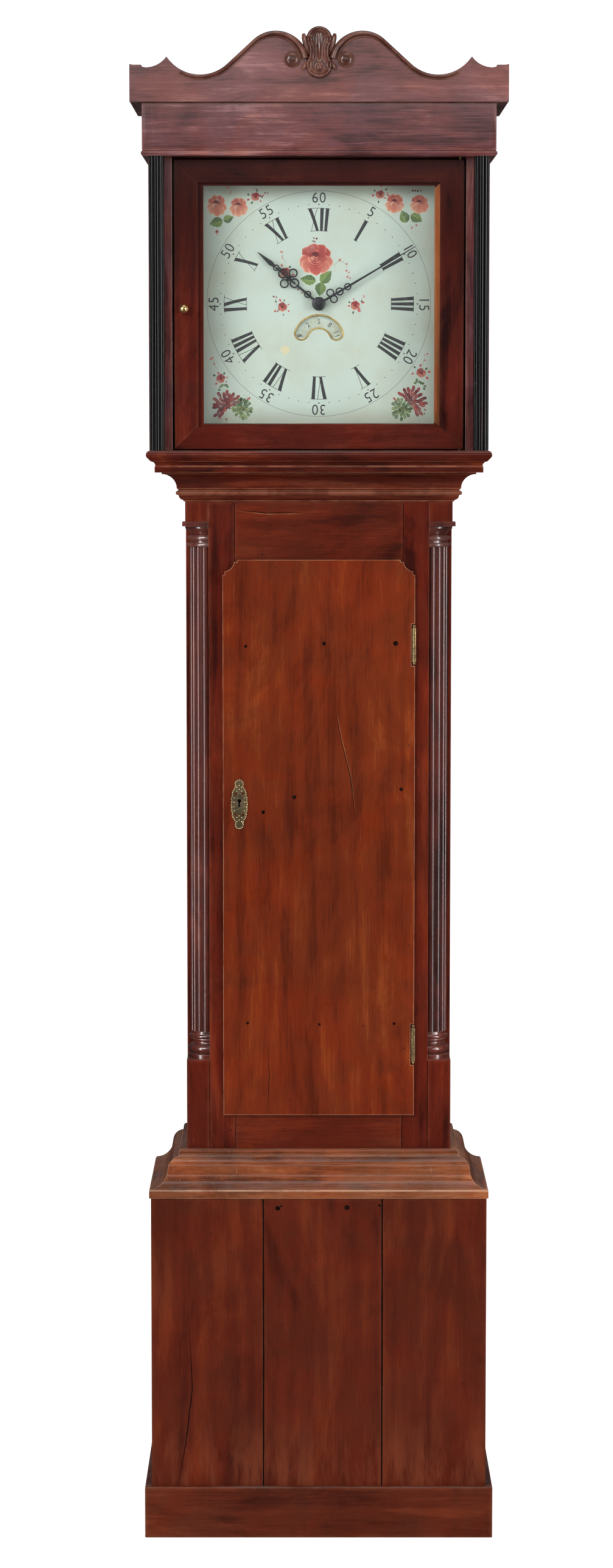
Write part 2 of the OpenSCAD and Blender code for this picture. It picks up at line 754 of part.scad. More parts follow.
// Hood door
module hood_door_blank() {
    half = hood_door_w / 2;
    difference() {
        slab(-half, half, door_rear_d, front_frame_d, hood_door_bottom, hood_door_top);
        slab(-sight_w / 2, sight_w / 2, front_frame_d - 6, front_frame_d + 1, sight_low, sight_high);
        slab(-sight_w / 2 + fillet_w, sight_w / 2 - fillet_w, door_rear_d - 1, front_frame_d,
            sight_low + fillet_w - 3, sight_high - fillet_w + 3);
        slab(-sight_w / 2, sight_w / 2, door_rear_d - 1, glass_d + glass_t + mitre_gap, sight_low,
            sight_high);
        for (z = [hood_door_bottom - 1, hood_door_top - 6]) translate([pivot_x, fy(pivot_d), z])
            cylinder(r = pivot_r + running_gap, h = 7);
    }
}

// Four frame members, mitred at the corners
module hood_door_frame() color("maroon") {
    half = hood_door_w / 2;
    x = sight_w / 2 - 20;
    low = sight_low + 20;
    high = sight_high - 20;
    corners = [[-half, hood_door_bottom], [half, hood_door_bottom], [half, hood_door_top],
        [-half, hood_door_top]];
    inner = [[-x, low], [x, low], [x, high], [-x, high]];
    nudges = [[0, -1], [1, 0], [0, 1], [-1, 0]];
    for (i = [0 : 3]) intersection() {
        hood_door_blank();
        face_cut(door_rear_d - 1, front_frame_d + 1) translate(nudges[i] * mitre_gap)
            polygon([corners[i], corners[(i + 1) % 4], inner[(i + 1) % 4], inner[i]]);
    }
}

module glass_pane() color("azure", 0.4)
    slab(-sight_w / 2 + 1, sight_w / 2 - 1, glass_d, glass_d + glass_t, sight_low + 1, sight_high - 1);

module hood_door_knob() color("gold") {
    knob_z = dial_z - 8;
    knob_x = 13 - hood_door_w / 2;
    translate([knob_x, fy(front_frame_d), knob_z]) rotate([90, 0, 0]) rotate_extrude()
        polygon(concat([[0, 0], [4, 0], [4, 1.5], [2.4, 2.5], [2.4, 5]],
            arc_points(0, 9.5, 6.2, -42, 90, 8)));
}

module hood_door_pivots() color("goldenrod")
    for (z = [pillar_bottom, bead_bottom - pivot_l]) translate([pivot_x, fy(pivot_d), z])
        cylinder(r = pivot_r, h = pivot_l);

// Movement
module movement_plates() color("gold") difference() {
    for (d = [back_plate_d, front_plate_d])
        slab(-plate_w / 2, plate_w / 2, d, d + plate_t, plate_bottom, plate_bottom + plate_h);
    for (p = [[great_x, great_z, 2], [-great_x, great_z, 2], [second_x, second_z, 1.2], [0, escape_z, 1.2],
        [0, anchor_z, 1.6], [hammer_x, hammer_z, 1.6]])
        rod(p[2] + running_gap, back_plate_d - 1, front_plate_d + plate_t + 1, p[0], p[1]);
}

module movement_posts() color("goldenrod") {
    px = plate_w / 2 - 6;
    for (x = [-px, px], z = [plate_bottom + 7, plate_bottom + plate_h - 7]) {
        rod(4, back_plate_d + plate_t, front_plate_d, x, z);
        rod(2.5, front_plate_d + plate_t, dial_rear, x, z);
    }
    rod(3, front_plate_d + plate_t, dial_rear - 7.3, 0, dial_z);
    rod(2.5, dial_rear - 9, dial_rear, 0, date_z);
    rod(4, dial_rear - 10, dial_rear - 9, 0, date_z);
}

module date_aperture() {
    translate([0, date_z]) difference() {
        circle(r = date_hole_r);
        circle(r = date_hub_r);
        translate([-50, -60]) square([100, 64]);
    }
}

module dial_plate() color("ivory") difference() {
    half = dial_size / 2;
    slab(-half, half, dial_rear, dial_rear + dial_t, dial_z - half, dial_z + half);
    rod(6, dial_rear - 1, dial_rear + dial_t + 1, 0, dial_z);
    face_cut(dial_rear - 1, dial_rear + dial_t + 1) date_aperture();
}

module bell() color("silver") translate([0, fy(rope_d), bell_z]) rotate_extrude() {
    r = bell_dia / 2;
    wall = 2.5;
    difference() {
        intersection() {
            translate([0, -r * 0.35]) circle(r = r, $fn = 96);
            square([r, r]);
        }
        translate([0, -r * 0.35]) circle(r = r - wall, $fn = 96);
        translate([-0.1, 0]) square([3.1, 2 * r]);
    }
}

// The stand goes up beside the bell and over it
module bell_stand() color("dimgray") {
    r = bell_dia / 2;
    top = bell_z + r * 0.65;
    bar = 6;
    stand_x = r + 2;
    slab(stand_x, stand_x + bar, back_plate_d - 8, back_plate_d, plate_bottom + plate_h - 8, top + bar);
    slab(stand_x, stand_x + bar, back_plate_d - 8, rope_d + bar / 2, top + 0.3, top + bar);
    slab(-bar / 2, stand_x + bar, rope_d - bar / 2, rope_d + bar / 2, top + 0.3, top + bar);
    translate([0, fy(rope_d), top - 5]) cylinder(r = 2.9, h = 8);
    translate([0, fy(rope_d), top - 6]) cylinder(r = 6, h = 3);
}

module back_cock() color("gold") {
    slab(12, 18, pendulum_d - 5, back_plate_d, anchor_z + 2, anchor_z + 14);
    slab(-18, -12, pendulum_d - 5, back_plate_d, anchor_z + 2, anchor_z + 14);
    slab(-18, 18, pendulum_d - 5, pendulum_d + 5, anchor_z + 14, anchor_z + 18);
}

module hand_sweep(angle) {
    translate([0, 0, dial_z]) rotate([0, angle, 0]) children();
}

module ring(r, w) difference() {
    circle(r = r);
    circle(r = r - w);
}

module hour_hand_shape() {
    cross_at = 54;
    circle(r = 8);
    translate([-1.6, 6]) square([3.2, 34]);
    translate([0, 20]) ring(5, 1.8);
    translate([0, cross_at]) circle(r = 3.8);
    translate([-1.2, cross_at - 12]) square([2.4, 35]);
    for (s = [-1, 1]) translate([s * 9.4, cross_at]) ring(6.3, 2);
    for (s = [-1, 1]) translate([0, cross_at + s * 10.3]) ring(6.8, 2);
    translate([0, 76.5]) ring(4.5, 1.6);
    polygon([[1.4, 78], [3.4, 86], [0.5, hour_hand_l], [-0.5, hour_hand_l], [-3.4, 86], [-1.4, 78]]);
}

module minute_hand_shape() {
    circle(r = 8.5);
    translate([-1.5, 6]) square([3, 54]);
    for (s = [-1, 1]) translate([s * 5, 21]) ring(5.6, 1.8);
    translate([0, 33]) ring(5.6, 1.8);
    translate([0, 46]) ring(5, 1.8);
    polygon([[-1.5, 58], [1.5, 58], [0.5, minute_hand_l], [-0.5, minute_hand_l]]);
}

module hour_hand() color("black") difference() {
    translate([0, fy(hour_hand_d), 0]) hand_sweep(hour_angle) rotate([90, 0, 0])
        linear_extrude(hand_t) hour_hand_shape();
    rod(hour_pipe_r + running_gap, dial_rear, dial_rear + 12, 0, dial_z);
}

module hour_wheel() color("gold") difference() {
    union() {
        rod(hour_pipe_r, dial_rear - 14, hour_hand_d + hand_t, 0, dial_z);
        translate([0, 0, dial_z]) face_cut(dial_rear - 14, dial_rear - 12) crossed_wheel(72, hour_tip, 10);
    }
    rod(minute_pipe_r + running_gap, dial_rear - 15, dial_rear + 12, 0, dial_z);
}

module minute_hand() color("black") {
    difference() {
        translate([0, fy(minute_hand_d), 0]) hand_sweep(minute_angle) rotate([90, 0, 0])
            linear_extrude(hand_t) minute_hand_shape();
        rod(minute_pipe_r + running_gap, minute_hand_d - 1, minute_hand_d + hand_t + 1, 0, dial_z);
    }
    rod(6, minute_hand_d + hand_t, minute_hand_d + hand_t + 2, 0, dial_z);
}

module minute_arbor() color("gold") difference() {
    union() {
        rod(minute_pipe_r, front_plate_d + plate_t + 1, minute_hand_d + hand_t, 0, dial_z);
        translate([0, 0, dial_z]) face_cut(motion_d, motion_d + wheel_t) crossed_wheel(36, great_tip, 8);
    }
    rod(3 + running_gap, front_plate_d + plate_t, dial_rear - 7, 0, dial_z);
}

module date_ring() color("linen") difference() {
    union() {
        translate([0, 0, date_z]) face_cut(dial_rear - 3.5, dial_rear - 2.5) toothed_disc(62, 36.5, 1.5);
        rod(5, dial_rear - 8.7, dial_rear - 2.5, 0, date_z);
    }
    rod(2.5 + running_gap, dial_rear - 10, dial_rear, 0, date_z);
}

// An arbor between the plates with its two pivots
module arbor(r, pivot_r, x, z) {
    rod(r, back_plate_d + plate_t + end_shake, front_plate_d - end_shake, x, z);
    rod(pivot_r, back_plate_d, front_plate_d + plate_t, x, z);
}

module pulley(x) {
    groove = pulley_r - rope_dia / 2 - rope_gap;
    for (d = [rope_d - 6.5, rope_d + 4.5]) rod(pulley_r + 3, d, d + 2, x, great_z);
    rod(groove, rope_d - 4.5, rope_d + 4.5, x, great_z);
}

module great_wheel() {
    face_cut(great_wheel_d, great_wheel_d + 3) crossed_wheel(56, great_tip, 8);
}

module going_wheel() color("gold") {
    arbor(3, 2, great_x, great_z);
    pulley(great_x);
    translate([great_x, 0, great_z]) great_wheel();
    rod(2, front_plate_d + plate_t - 1, dial_rear - 10, great_x, great_z);
    translate([great_x, 0, great_z]) {
        face_cut(motion_d, motion_d + wheel_t) crossed_wheel(36, great_tip, 8);
        face_cut(dial_rear - 15, dial_rear - 11) toothed_disc(6, 4.5, 1.5);
    }
}

module strike_wheel() color("gold") {
    pin_r = great_tip - 3.5;
    arbor(3, 2, -great_x, great_z);
    pulley(-great_x);
    translate([-great_x, 0, great_z]) great_wheel();
    for (a = [10 : 45 : 325])
        rod(1.2, great_wheel_d - 3, great_wheel_d + 1, pin_r * cos(a) - great_x, great_z + pin_r * sin(a));
}

module second_wheel() color("gold") {
    arbor(2.5, 1.2, second_x, second_z);
    translate([second_x, 0, second_z]) {
        face_cut(great_wheel_d - 1, great_wheel_d + 4) toothed_disc(7, 8.4, 2);
        face_cut(second_wheel_d, second_wheel_d + wheel_t) crossed_wheel(60, second_tip, 7);
    }
}

module escape_wheel() color("gold") {
    teeth = 30;
    arbor(2.5, 1.2, 0, escape_z);
    translate([0, 0, escape_z]) {
        face_cut(second_wheel_d - 1, second_wheel_d + 3) toothed_disc(8, 5, 1.5);
        face_cut(escape_wheel_d, escape_wheel_d + wheel_t) difference() {
            polygon([for (i = [0 : teeth - 1], k = [0, 1]) let (a = 360 / teeth * (i + 0.35 * k))
                (k == 0 ? escape_tip : escape_tip - 4) * [cos(a), sin(a)]]);
            difference() {
                circle(r = escape_tip - 7);
                circle(r = 5);
                for (a = [0, 90]) rotate(a) square([2 * escape_tip, 2.4], center = true);
            }
        }
    }
}

// Anchor on its arbor, with the crutch and its fork round the pendulum rod
module anchor() color("dimgray") {
    arbor(2.5, 1.6, 0, anchor_z);
    rod(1.6, pendulum_d + 4, back_plate_d + 1, 0, anchor_z);
    translate([0, 0, anchor_z]) face_cut(escape_wheel_d - 0.5, escape_wheel_d + wheel_t + 0.5) {
        difference() {
            circle(r = 31, $fn = 96);
            circle(r = 26, $fn = 96);
            translate([-60, -15]) square([120, 100]);
            translate([0, escape_z - anchor_z]) circle(r = escape_tip + 2.2);
        }
        for (s = [-1, 1]) rotate(s * 59) translate([-2.2, -28]) square([4.4, 28]);
    }
    slab(-2, 2, pendulum_d + 4, pendulum_d + 7, anchor_z - 100, anchor_z);
    for (s = [-1, 1]) translate([s * 4.6 - 1, fy(pendulum_d + 7), anchor_z - 104]) cube([2, 13, 5]);
    slab(-5.6, 5.6, pendulum_d + 4, pendulum_d + 7, anchor_z - 104, anchor_z - 99);
}

module pendulum_rod() color("silver") {
    slab(-6, 6, pendulum_d - 0.3, pendulum_d + 0.3, anchor_z - 40, anchor_z + 13.4);
    slab(-4, 4, pendulum_d - 2.5, pendulum_d + 2.5, anchor_z - 52, anchor_z - 40);
    translate([0, fy(pendulum_d), bob_z - 90]) cylinder(r = bob_rod_r, h = anchor_z - 52 - bob_z + 90);
    translate([0, fy(pendulum_d), bob_z - bob_dia / 2 - 8.3]) cylinder(r = 7, h = 8);
}

module pendulum_bob() color("gold") difference() {
    edge_t = 3;
    bob_t = 26;
    rise = (bob_t - edge_t) / 2;
    cap_r = (pow(bob_dia / 2, 2) + rise * rise) / (2 * rise);
    translate([0, fy(pendulum_d), bob_z]) rotate([90, 0, 0]) intersection() {
        translate([0, 0, bob_t / 2 - cap_r]) sphere(r = cap_r, $fn = 96);
        translate([0, 0, cap_r - bob_t / 2]) sphere(r = cap_r, $fn = 96);
        cylinder(r = bob_dia / 2, h = bob_t, center = true);
    }
    translate([0, fy(pendulum_d), bob_z - bob_dia]) cylinder(r = bob_rod_r + running_gap, h = 2 * bob_dia);
}

module hammer() color("dimgray") {
    head_z = bell_z + 5;
    arbor(2.5, 1.6, hammer_x, hammer_z);
    slab(hammer_x - 1.5, hammer_x + 1.5, rope_d - 1.5, rope_d + 1.5, hammer_z, head_z);
    translate([hammer_x - 5, fy(rope_d), head_z]) rotate([0, 90, 0]) cylinder(r = 5, h = 7);
    slab(hammer_x - 1.5, hammer_x + 1.5, great_wheel_d - 3, great_wheel_d - 0.5, hammer_z - 50, hammer_z);
}

// Rope, weight and ring weight
module driving_weight() color("dimgray") {
    r = weight_dia / 2;
    translate([0, fy(rope_d), weight_top - weight_h]) rotate_extrude()
        polygon(concat([[0, 0], [r - 2, 0], [r, 2], [r, weight_h - 6]],
            arc_points(r - 6, weight_h - 6, 6, 0, 90, 5), [[0, weight_h]]));
    translate([0, fy(rope_d), weight_top]) cylinder(r = 2.5, h = 8);
}

module weight_pulley() color("goldenrod") {
    groove = sheave_r - rope_dia / 2 - rope_gap;
    translate([0, 0, sheave_z]) {
        difference() {
            union() {
                for (d = [rope_d - 5, rope_d + 3]) rod(sheave_r + 3, d, d + 2, 0, 0);
                rod(groove, rope_d - 3, rope_d + 3, 0, 0);
            }
            rod(2.5 + running_gap, rope_d - 6, rope_d + 6, 0, 0);
        }
        rod(2.5, rope_d - 10, rope_d + 10, 0, 0);
    }
    for (d = [rope_d - 9, rope_d + 6.5]) slab(-5, 5, d, d + 2.5, sheave_z - 30, sheave_z + 6);
    slab(-5, 5, rope_d - 9, rope_d + 9, weight_top + 8, sheave_z - 29);
}

module ring_weight() color("dimgray") translate([0, fy(ring_d), ring_z]) rotate([0, 90, 0])
    rotate_extrude() translate([ring_hole_r + 5, 0]) circle(r = 5);

module rope_over_pulleys() color("wheat") for (x = [-great_x, great_x])
    translate([x, fy(rope_d), great_z]) rotate([90, 0, 0]) rotate_extrude(angle = 180)
        translate([pulley_r, 0]) circle(r = rope_dia / 2, $fn = 24);

module rope_inner() color("wheat") {
    both_sides() translate([sheave_r, fy(rope_d), sheave_z])
        cylinder(r = rope_dia / 2, h = great_z - sheave_z - rope_gap, $fn = 24);
    translate([0, fy(rope_d), sheave_z]) rotate([90, 180, 0]) rotate_extrude(angle = 180)
        translate([sheave_r, 0]) circle(r = rope_dia / 2, $fn = 24);
}

// The outer runs slope in to the ring weight, which hangs in front of the driving weight
module rope_outer() color("wheat") {
    bight_x = 12;
    bight_z = ring_z + ring_hole_r - rope_dia / 2 - rope_gap;
    across = [outer_x - bight_x, fy(rope_d) - fy(ring_d), great_z - 2 * rope_gap - bight_z];
    both_sides() translate([bight_x, fy(ring_d), bight_z])
        rotate([0, acos(across[2] / norm(across)), atan2(across[1], across[0])])
            cylinder(r = rope_dia / 2, h = norm(across), $fn = 24);
    translate([-bight_x - 1, fy(ring_d), bight_z]) rotate([0, 90, 0])
        cylinder(r = rope_dia / 2, h = 2 * bight_x + 2, $fn = 24);
}

plinth_boards();
base_front_boards();
base_sides();
base_floor();
base_moulding();
backboard();
trunk_sides();
trunk_stiles();
trunk_rails();
corner_posts();
column_shafts();
column_turnings();
throat_moulding();
seatboard();
frame_hinge_leaves();
trunk_door();
door_hinge_leaves();
escutcheon();
lock_case();
lock_bolt();
hood_sides();
hood_stiles();
hood_base_moulding();
hood_pillars();
dial_mask();
frieze_boards();
frieze_bead();
hood_top_boards();
cresting_board();
cresting_scrolls();
cartouche();
hood_door_frame();
glass_pane();
hood_door_knob();
hood_door_pivots();
movement_plates();
movement_posts();
dial_plate();
bell();
bell_stand();
back_cock();
hour_hand();
hour_wheel();
minute_hand();
minute_arbor();
date_ring();
going_wheel();
strike_wheel();
second_wheel();
escape_wheel();
anchor();
pendulum_rod();
pendulum_bob();
hammer();
driving_weight();
weight_pulley();
ring_weight();
rope_over_pulleys();
rope_inner();
rope_outer();
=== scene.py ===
import json
import math
import random

import bmesh
import bpy
from mathutils import Matrix, Vector


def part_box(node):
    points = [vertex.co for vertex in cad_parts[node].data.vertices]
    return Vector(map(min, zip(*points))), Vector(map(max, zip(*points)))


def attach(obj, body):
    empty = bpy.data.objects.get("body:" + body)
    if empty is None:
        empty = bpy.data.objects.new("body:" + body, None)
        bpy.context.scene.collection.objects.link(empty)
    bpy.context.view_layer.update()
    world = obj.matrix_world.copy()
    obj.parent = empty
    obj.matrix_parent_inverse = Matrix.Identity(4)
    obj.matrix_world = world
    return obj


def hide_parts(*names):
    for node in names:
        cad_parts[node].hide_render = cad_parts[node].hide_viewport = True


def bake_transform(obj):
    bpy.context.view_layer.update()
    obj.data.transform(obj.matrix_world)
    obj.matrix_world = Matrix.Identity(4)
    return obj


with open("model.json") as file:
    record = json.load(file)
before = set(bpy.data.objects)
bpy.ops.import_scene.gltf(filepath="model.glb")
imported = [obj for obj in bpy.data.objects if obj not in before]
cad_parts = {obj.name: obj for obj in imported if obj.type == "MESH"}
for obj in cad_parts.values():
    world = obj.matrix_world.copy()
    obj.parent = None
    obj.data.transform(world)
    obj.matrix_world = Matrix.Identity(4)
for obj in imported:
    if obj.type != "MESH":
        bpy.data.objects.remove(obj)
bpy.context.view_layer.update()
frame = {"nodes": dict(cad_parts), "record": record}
nodes = frame["nodes"]
record = frame["record"]
bodyOf = {node: body for body, members in record["behaviour"]["bodies"].items() for node in members}
mm = 0.001
print("frame loaded:", len(nodes), "nodes")

pen = {"tree": None}  # the node tree that is being drawn


# One output of a node: sums of wires make Math nodes, and brackets give another output of the same node
class Wire:
    def __init__(self, socket):
        self.socket = socket

    def __getitem__(self, title):
        return Wire(self.socket.node.outputs[title])

    def __add__(self, other):
        return calc("ADD", self, other)

    def __sub__(self, other):
        return calc("SUBTRACT", self, other)

    def __rsub__(self, other):
        return calc("SUBTRACT", other, self)

    def __mul__(self, other):
        return calc("MULTIPLY", self, other)

    def __truediv__(self, other):
        return calc("DIVIDE", self, other)


def join(value, socket):
    if isinstance(value, Wire):
        pen["tree"].links.new(value.socket, socket)
    else:
        socket.default_value = value


def node(kind, inputs, family="ShaderNode", **settings):
    made = pen["tree"].nodes.new(family + kind)
    for key, value in settings.items():
        setattr(made, key, value)
    for key, value in inputs.items():
        join(value, made.inputs[key])
    return Wire(made.outputs[0])


def shape(kind, inputs, **settings):
    return node(kind, inputs, "GeometryNode", **settings)


def calc(operation, *values):
    return node("Math", dict(enumerate(values)), operation=operation)


def held(wire):
    wire.socket.node.use_clamp = True  # kept between 0 and 1
    return wire


def noise(vector, scale, detail=3.0, roughness=0.55, distortion=0.0):
    if isinstance(scale, tuple):
        vector, scale = node("Mapping", {"Vector": vector, "Scale": scale}), 1.0
    return node("TexNoise", {"Vector": vector, "Scale": scale, "Detail": detail, "Roughness": roughness,
        "Distortion": distortion})


def between(value, low, high, outLow=0.0, outHigh=1.0, curve="SMOOTHSTEP"):
    return node("MapRange", {"Value": value, "From Min": low, "From Max": high, "To Min": outLow,
        "To Max": outHigh}, interpolation_type=curve)


def mix(factor, first, second, blend="MIX"):
    return node("Mix", {0: factor, 6: first, 7: second}, data_type="RGBA", blend_type=blend)[2]


def tinted(colour, red, green, blue):
    return mix(1.0, colour, (red, green, blue, 1), "MULTIPLY")


def vectorMath(operation, first, inputs):
    return node("VectorMath", {0: first, **inputs}, operation=operation)


def axesOf(vector):
    return node("SeparateXYZ", {0: vector})


def objectPoint():
    return node("TexCoord", {})["Object"]


def attribute(name, output):
    return node("Attribute", {}, attribute_name=name)[output]


def rgb(red, green, blue):
    def linear(c):
        c = c / 255
        return c / 12.92 if c <= 0.04045 else ((c + 0.055) / 1.055) ** 2.4
    return (linear(red), linear(green), linear(blue), 1.0)


# A tree with named sockets: a number or a colour is an input's own value, a word is a socket's kind
def newGroup(name, kind, inputs, outputs):
    tree = bpy.data.node_groups.new(name, kind)
    kinds = {float: "Float", int: "Int", tuple: "Color"}
    for way, sockets in (("INPUT", inputs), ("OUTPUT", outputs)):
        for title, value in sockets.items():
            socketKind = value if isinstance(value, str) else kinds[type(value)]
            socket = tree.interface.new_socket(name=title, in_out=way, socket_type="NodeSocket" + socketKind)
            if socketKind != value:
                socket.default_value = value
    pen["tree"] = tree
    return tree, Wire(tree.nodes.new("NodeGroupInput").outputs[0]), tree.nodes.new("NodeGroupOutput").inputs


# Shader groups: wood figure, old polish, aged metal
def makeWoodFigure():
    tree, given, out = newGroup("woodFigure", "ShaderNodeTree", {"Vector": "Vector",
        "Dark": (0.02, 0.01, 0.01, 1), "Mid": (0.1, 0.03, 0.02, 1), "Light": (0.2, 0.08, 0.04, 1),
        "Ribbon": 0.3, "Streak": 0.3, "Pores": 0.5, "Lines": 0.2, "Dark Lines": 0.3},
        {"Color": "Color", "Height": "Float"})
    vector = given["Vector"]
    broad = noise(vector, (11, 11, 3.6), 6, 0.62, 1.3)
    ribbon = noise(vector, (62, 62, 4.5), 4, 0.6, 1.1)
    streak = noise(vector, (330, 330, 15), 6, 0.7, 0.4)
    rings = node("TexWave", {"Vector": node("Mapping", {"Vector": vector, "Scale": (9, 9, 1.4)}),
        "Scale": 1.1, "Distortion": 9.0, "Detail": 4.0, "Detail Scale": 1.6}, bands_direction="X")["Fac"]
    total = (broad + (ribbon - 0.5) * given["Ribbon"]) + ((streak - 0.5) * given["Streak"]
        + (rings - 0.5) * 0.12)
    low = mix(between(total, 0.26, 0.5), given["Dark"], given["Mid"])
    colour = mix(between(total, 0.5, 0.74), low, given["Light"])
    lines = between(noise(vector, (210, 210, 6), 5, 0.65, 0.6), 0.56, 0.74)
    colour = mix(held(lines * given["Lines"]), colour, given["Light"])
    darkLines = between(noise(vector, (150, 150, 5), 5, 0.65, 0.8), 0.54, 0.74)
    colour = mix(darkLines * given["Dark Lines"], colour, given["Dark"])
    pores = between(noise(vector, (1300, 1300, 70), 2, 0.5), 0.56, 0.68) * given["Pores"]
    join(mix(pores * 0.8, colour, given["Dark"]), out["Color"])
    join(streak * 0.4 - pores, out["Height"])
    return tree


def makeOldPolish():
    tree, given, out = newGroup("oldPolish", "ShaderNodeTree", {"Vector": "Vector",
        "Color": (0.2, 0.1, 0.05, 1), "Edge": 0.0, "Wear And Highlight Color": (0.3, 0.15, 0.08, 1), "Wear And Highlight": 0.5,
        "Blotch": 0.35, "Gloss": 0.35, "Scratches": 0.4, "Dust": 0.3},
        {"Color": "Color", "Roughness": "Float", "Height": "Float"})
    vector = given["Vector"]
    blotch = noise(vector, 6.0, 5, 0.6, 0.4)
    smudge = noise(vector, 34.0, 4, 0.6)
    grime = noise(vector, 15.0, 6, 0.7)
    turned = node("Mapping", {"Vector": vector, "Rotation": (0.2, 0.9, 0.3), "Scale": (600, 500, 14)})
    scratches = held(between(noise(vector, (420, 420, 9), 1, 0.4), 0.70, 0.78)
        + between(noise(turned, 1.0, 1, 0.4), 0.72, 0.80))
    scratches = scratches * (between(blotch, 0.4, 0.65) * given["Scratches"])
    warmth = between(noise(vector, 9.0, 4, 0.6, 0.8), 0.38, 0.62)
    colour = mix(warmth, given["Color"], tinted(given["Color"], 1.14, 0.92, 0.74))
    shade = between(blotch, 0.3, 0.66) * given["Blotch"]
    colour = mix(shade, colour, tinted(colour, 0.5, 0.46, 0.46))
    colour = mix(between(grime, 0.55, 0.75) * 0.35, colour, tinted(colour, 0.3, 0.28, 0.3))
    # Edges: lighter where the polish is rubbed through, and lighter still as a painted highlight along them
    wornAndHighlit = held((given["Edge"] * between(smudge, 0.36, 0.62, 0.35, 1.0)) * given["Wear And Highlight"])
    colour = mix(wornAndHighlit, colour, given["Wear And Highlight Color"])
    colour = mix(scratches * 0.6, colour, given["Wear And Highlight Color"])
    specks = node("TexVoronoi", {"Vector": vector, "Scale": 46.0})
    specks = between(specks, 0.07, 0.04) * between(smudge, 0.5, 0.58)
    colour = mix(specks * 0.75, colour, (0.008, 0.006, 0.006, 1))
    upward = axesOf(node("NewGeometry", {})["Normal"])["Z"]
    dust = (between(upward, 0.55, 0.95) * given["Dust"]) * between(grime, 0.3, 0.7)
    join(mix(dust, colour, (0.22, 0.19, 0.17, 1)), out["Color"])
    join(held(given["Gloss"] + (smudge - 0.4) * 0.35 + (wornAndHighlit + dust) * 0.3), out["Roughness"])
    dents = between(noise(vector, 75.0, 2, 0.5), 0.62, 0.75) * -0.8
    join(scratches * -0.7 + dents - specks, out["Height"])
    return tree


def makeAgedMetal():
    tree, given, out = newGroup("agedMetal", "ShaderNodeTree", {"Vector": "Vector",
        "Bright": (0.7, 0.5, 0.2, 1), "Tarnish": (0.2, 0.12, 0.05, 1), "Age": 0.5, "Gloss": 0.3,
        "Brush": 0.3}, {"Color": "Color", "Roughness": "Float", "Metallic": "Float", "Height": "Float"})
    vector = given["Vector"]
    fine = noise(vector, 420.0, 4, 0.6)
    age = held(between(noise(vector, 48.0, 6, 0.7, 0.5), 0.36, 0.66) * given["Age"])
    mottled = held(age + (fine - 0.5) * 0.35)
    join(mix(mottled, given["Bright"], given["Tarnish"]), out["Color"])
    join(held(given["Gloss"] + mottled * 0.35), out["Roughness"])
    join(1.0 - age * 0.35, out["Metallic"])
    join(noise(vector, (90, 90, 2400), 2, 0.5) * given["Brush"] + fine * 0.3, out["Height"])
    return tree


woodFigure, oldPolish, agedMetal = makeWoodFigure(), makeOldPolish(), makeAgedMetal()
print("shader groups built")


def startMaterial(name):
    material = bpy.data.materials.new(name)
    material.use_nodes = True
    pen["tree"] = material.node_tree
    return material


def endMaterial(material, sockets, height=None, depth=0.0001, strength=0.5):
    inputs = material.node_tree.nodes["Principled BSDF"].inputs
    if height is not None:
        join(node("Bump", {"Height": height, "Distance": depth, "Strength": strength}), inputs["Normal"])
    for title, value in sockets.items():
        join(value, inputs[title])
    return material
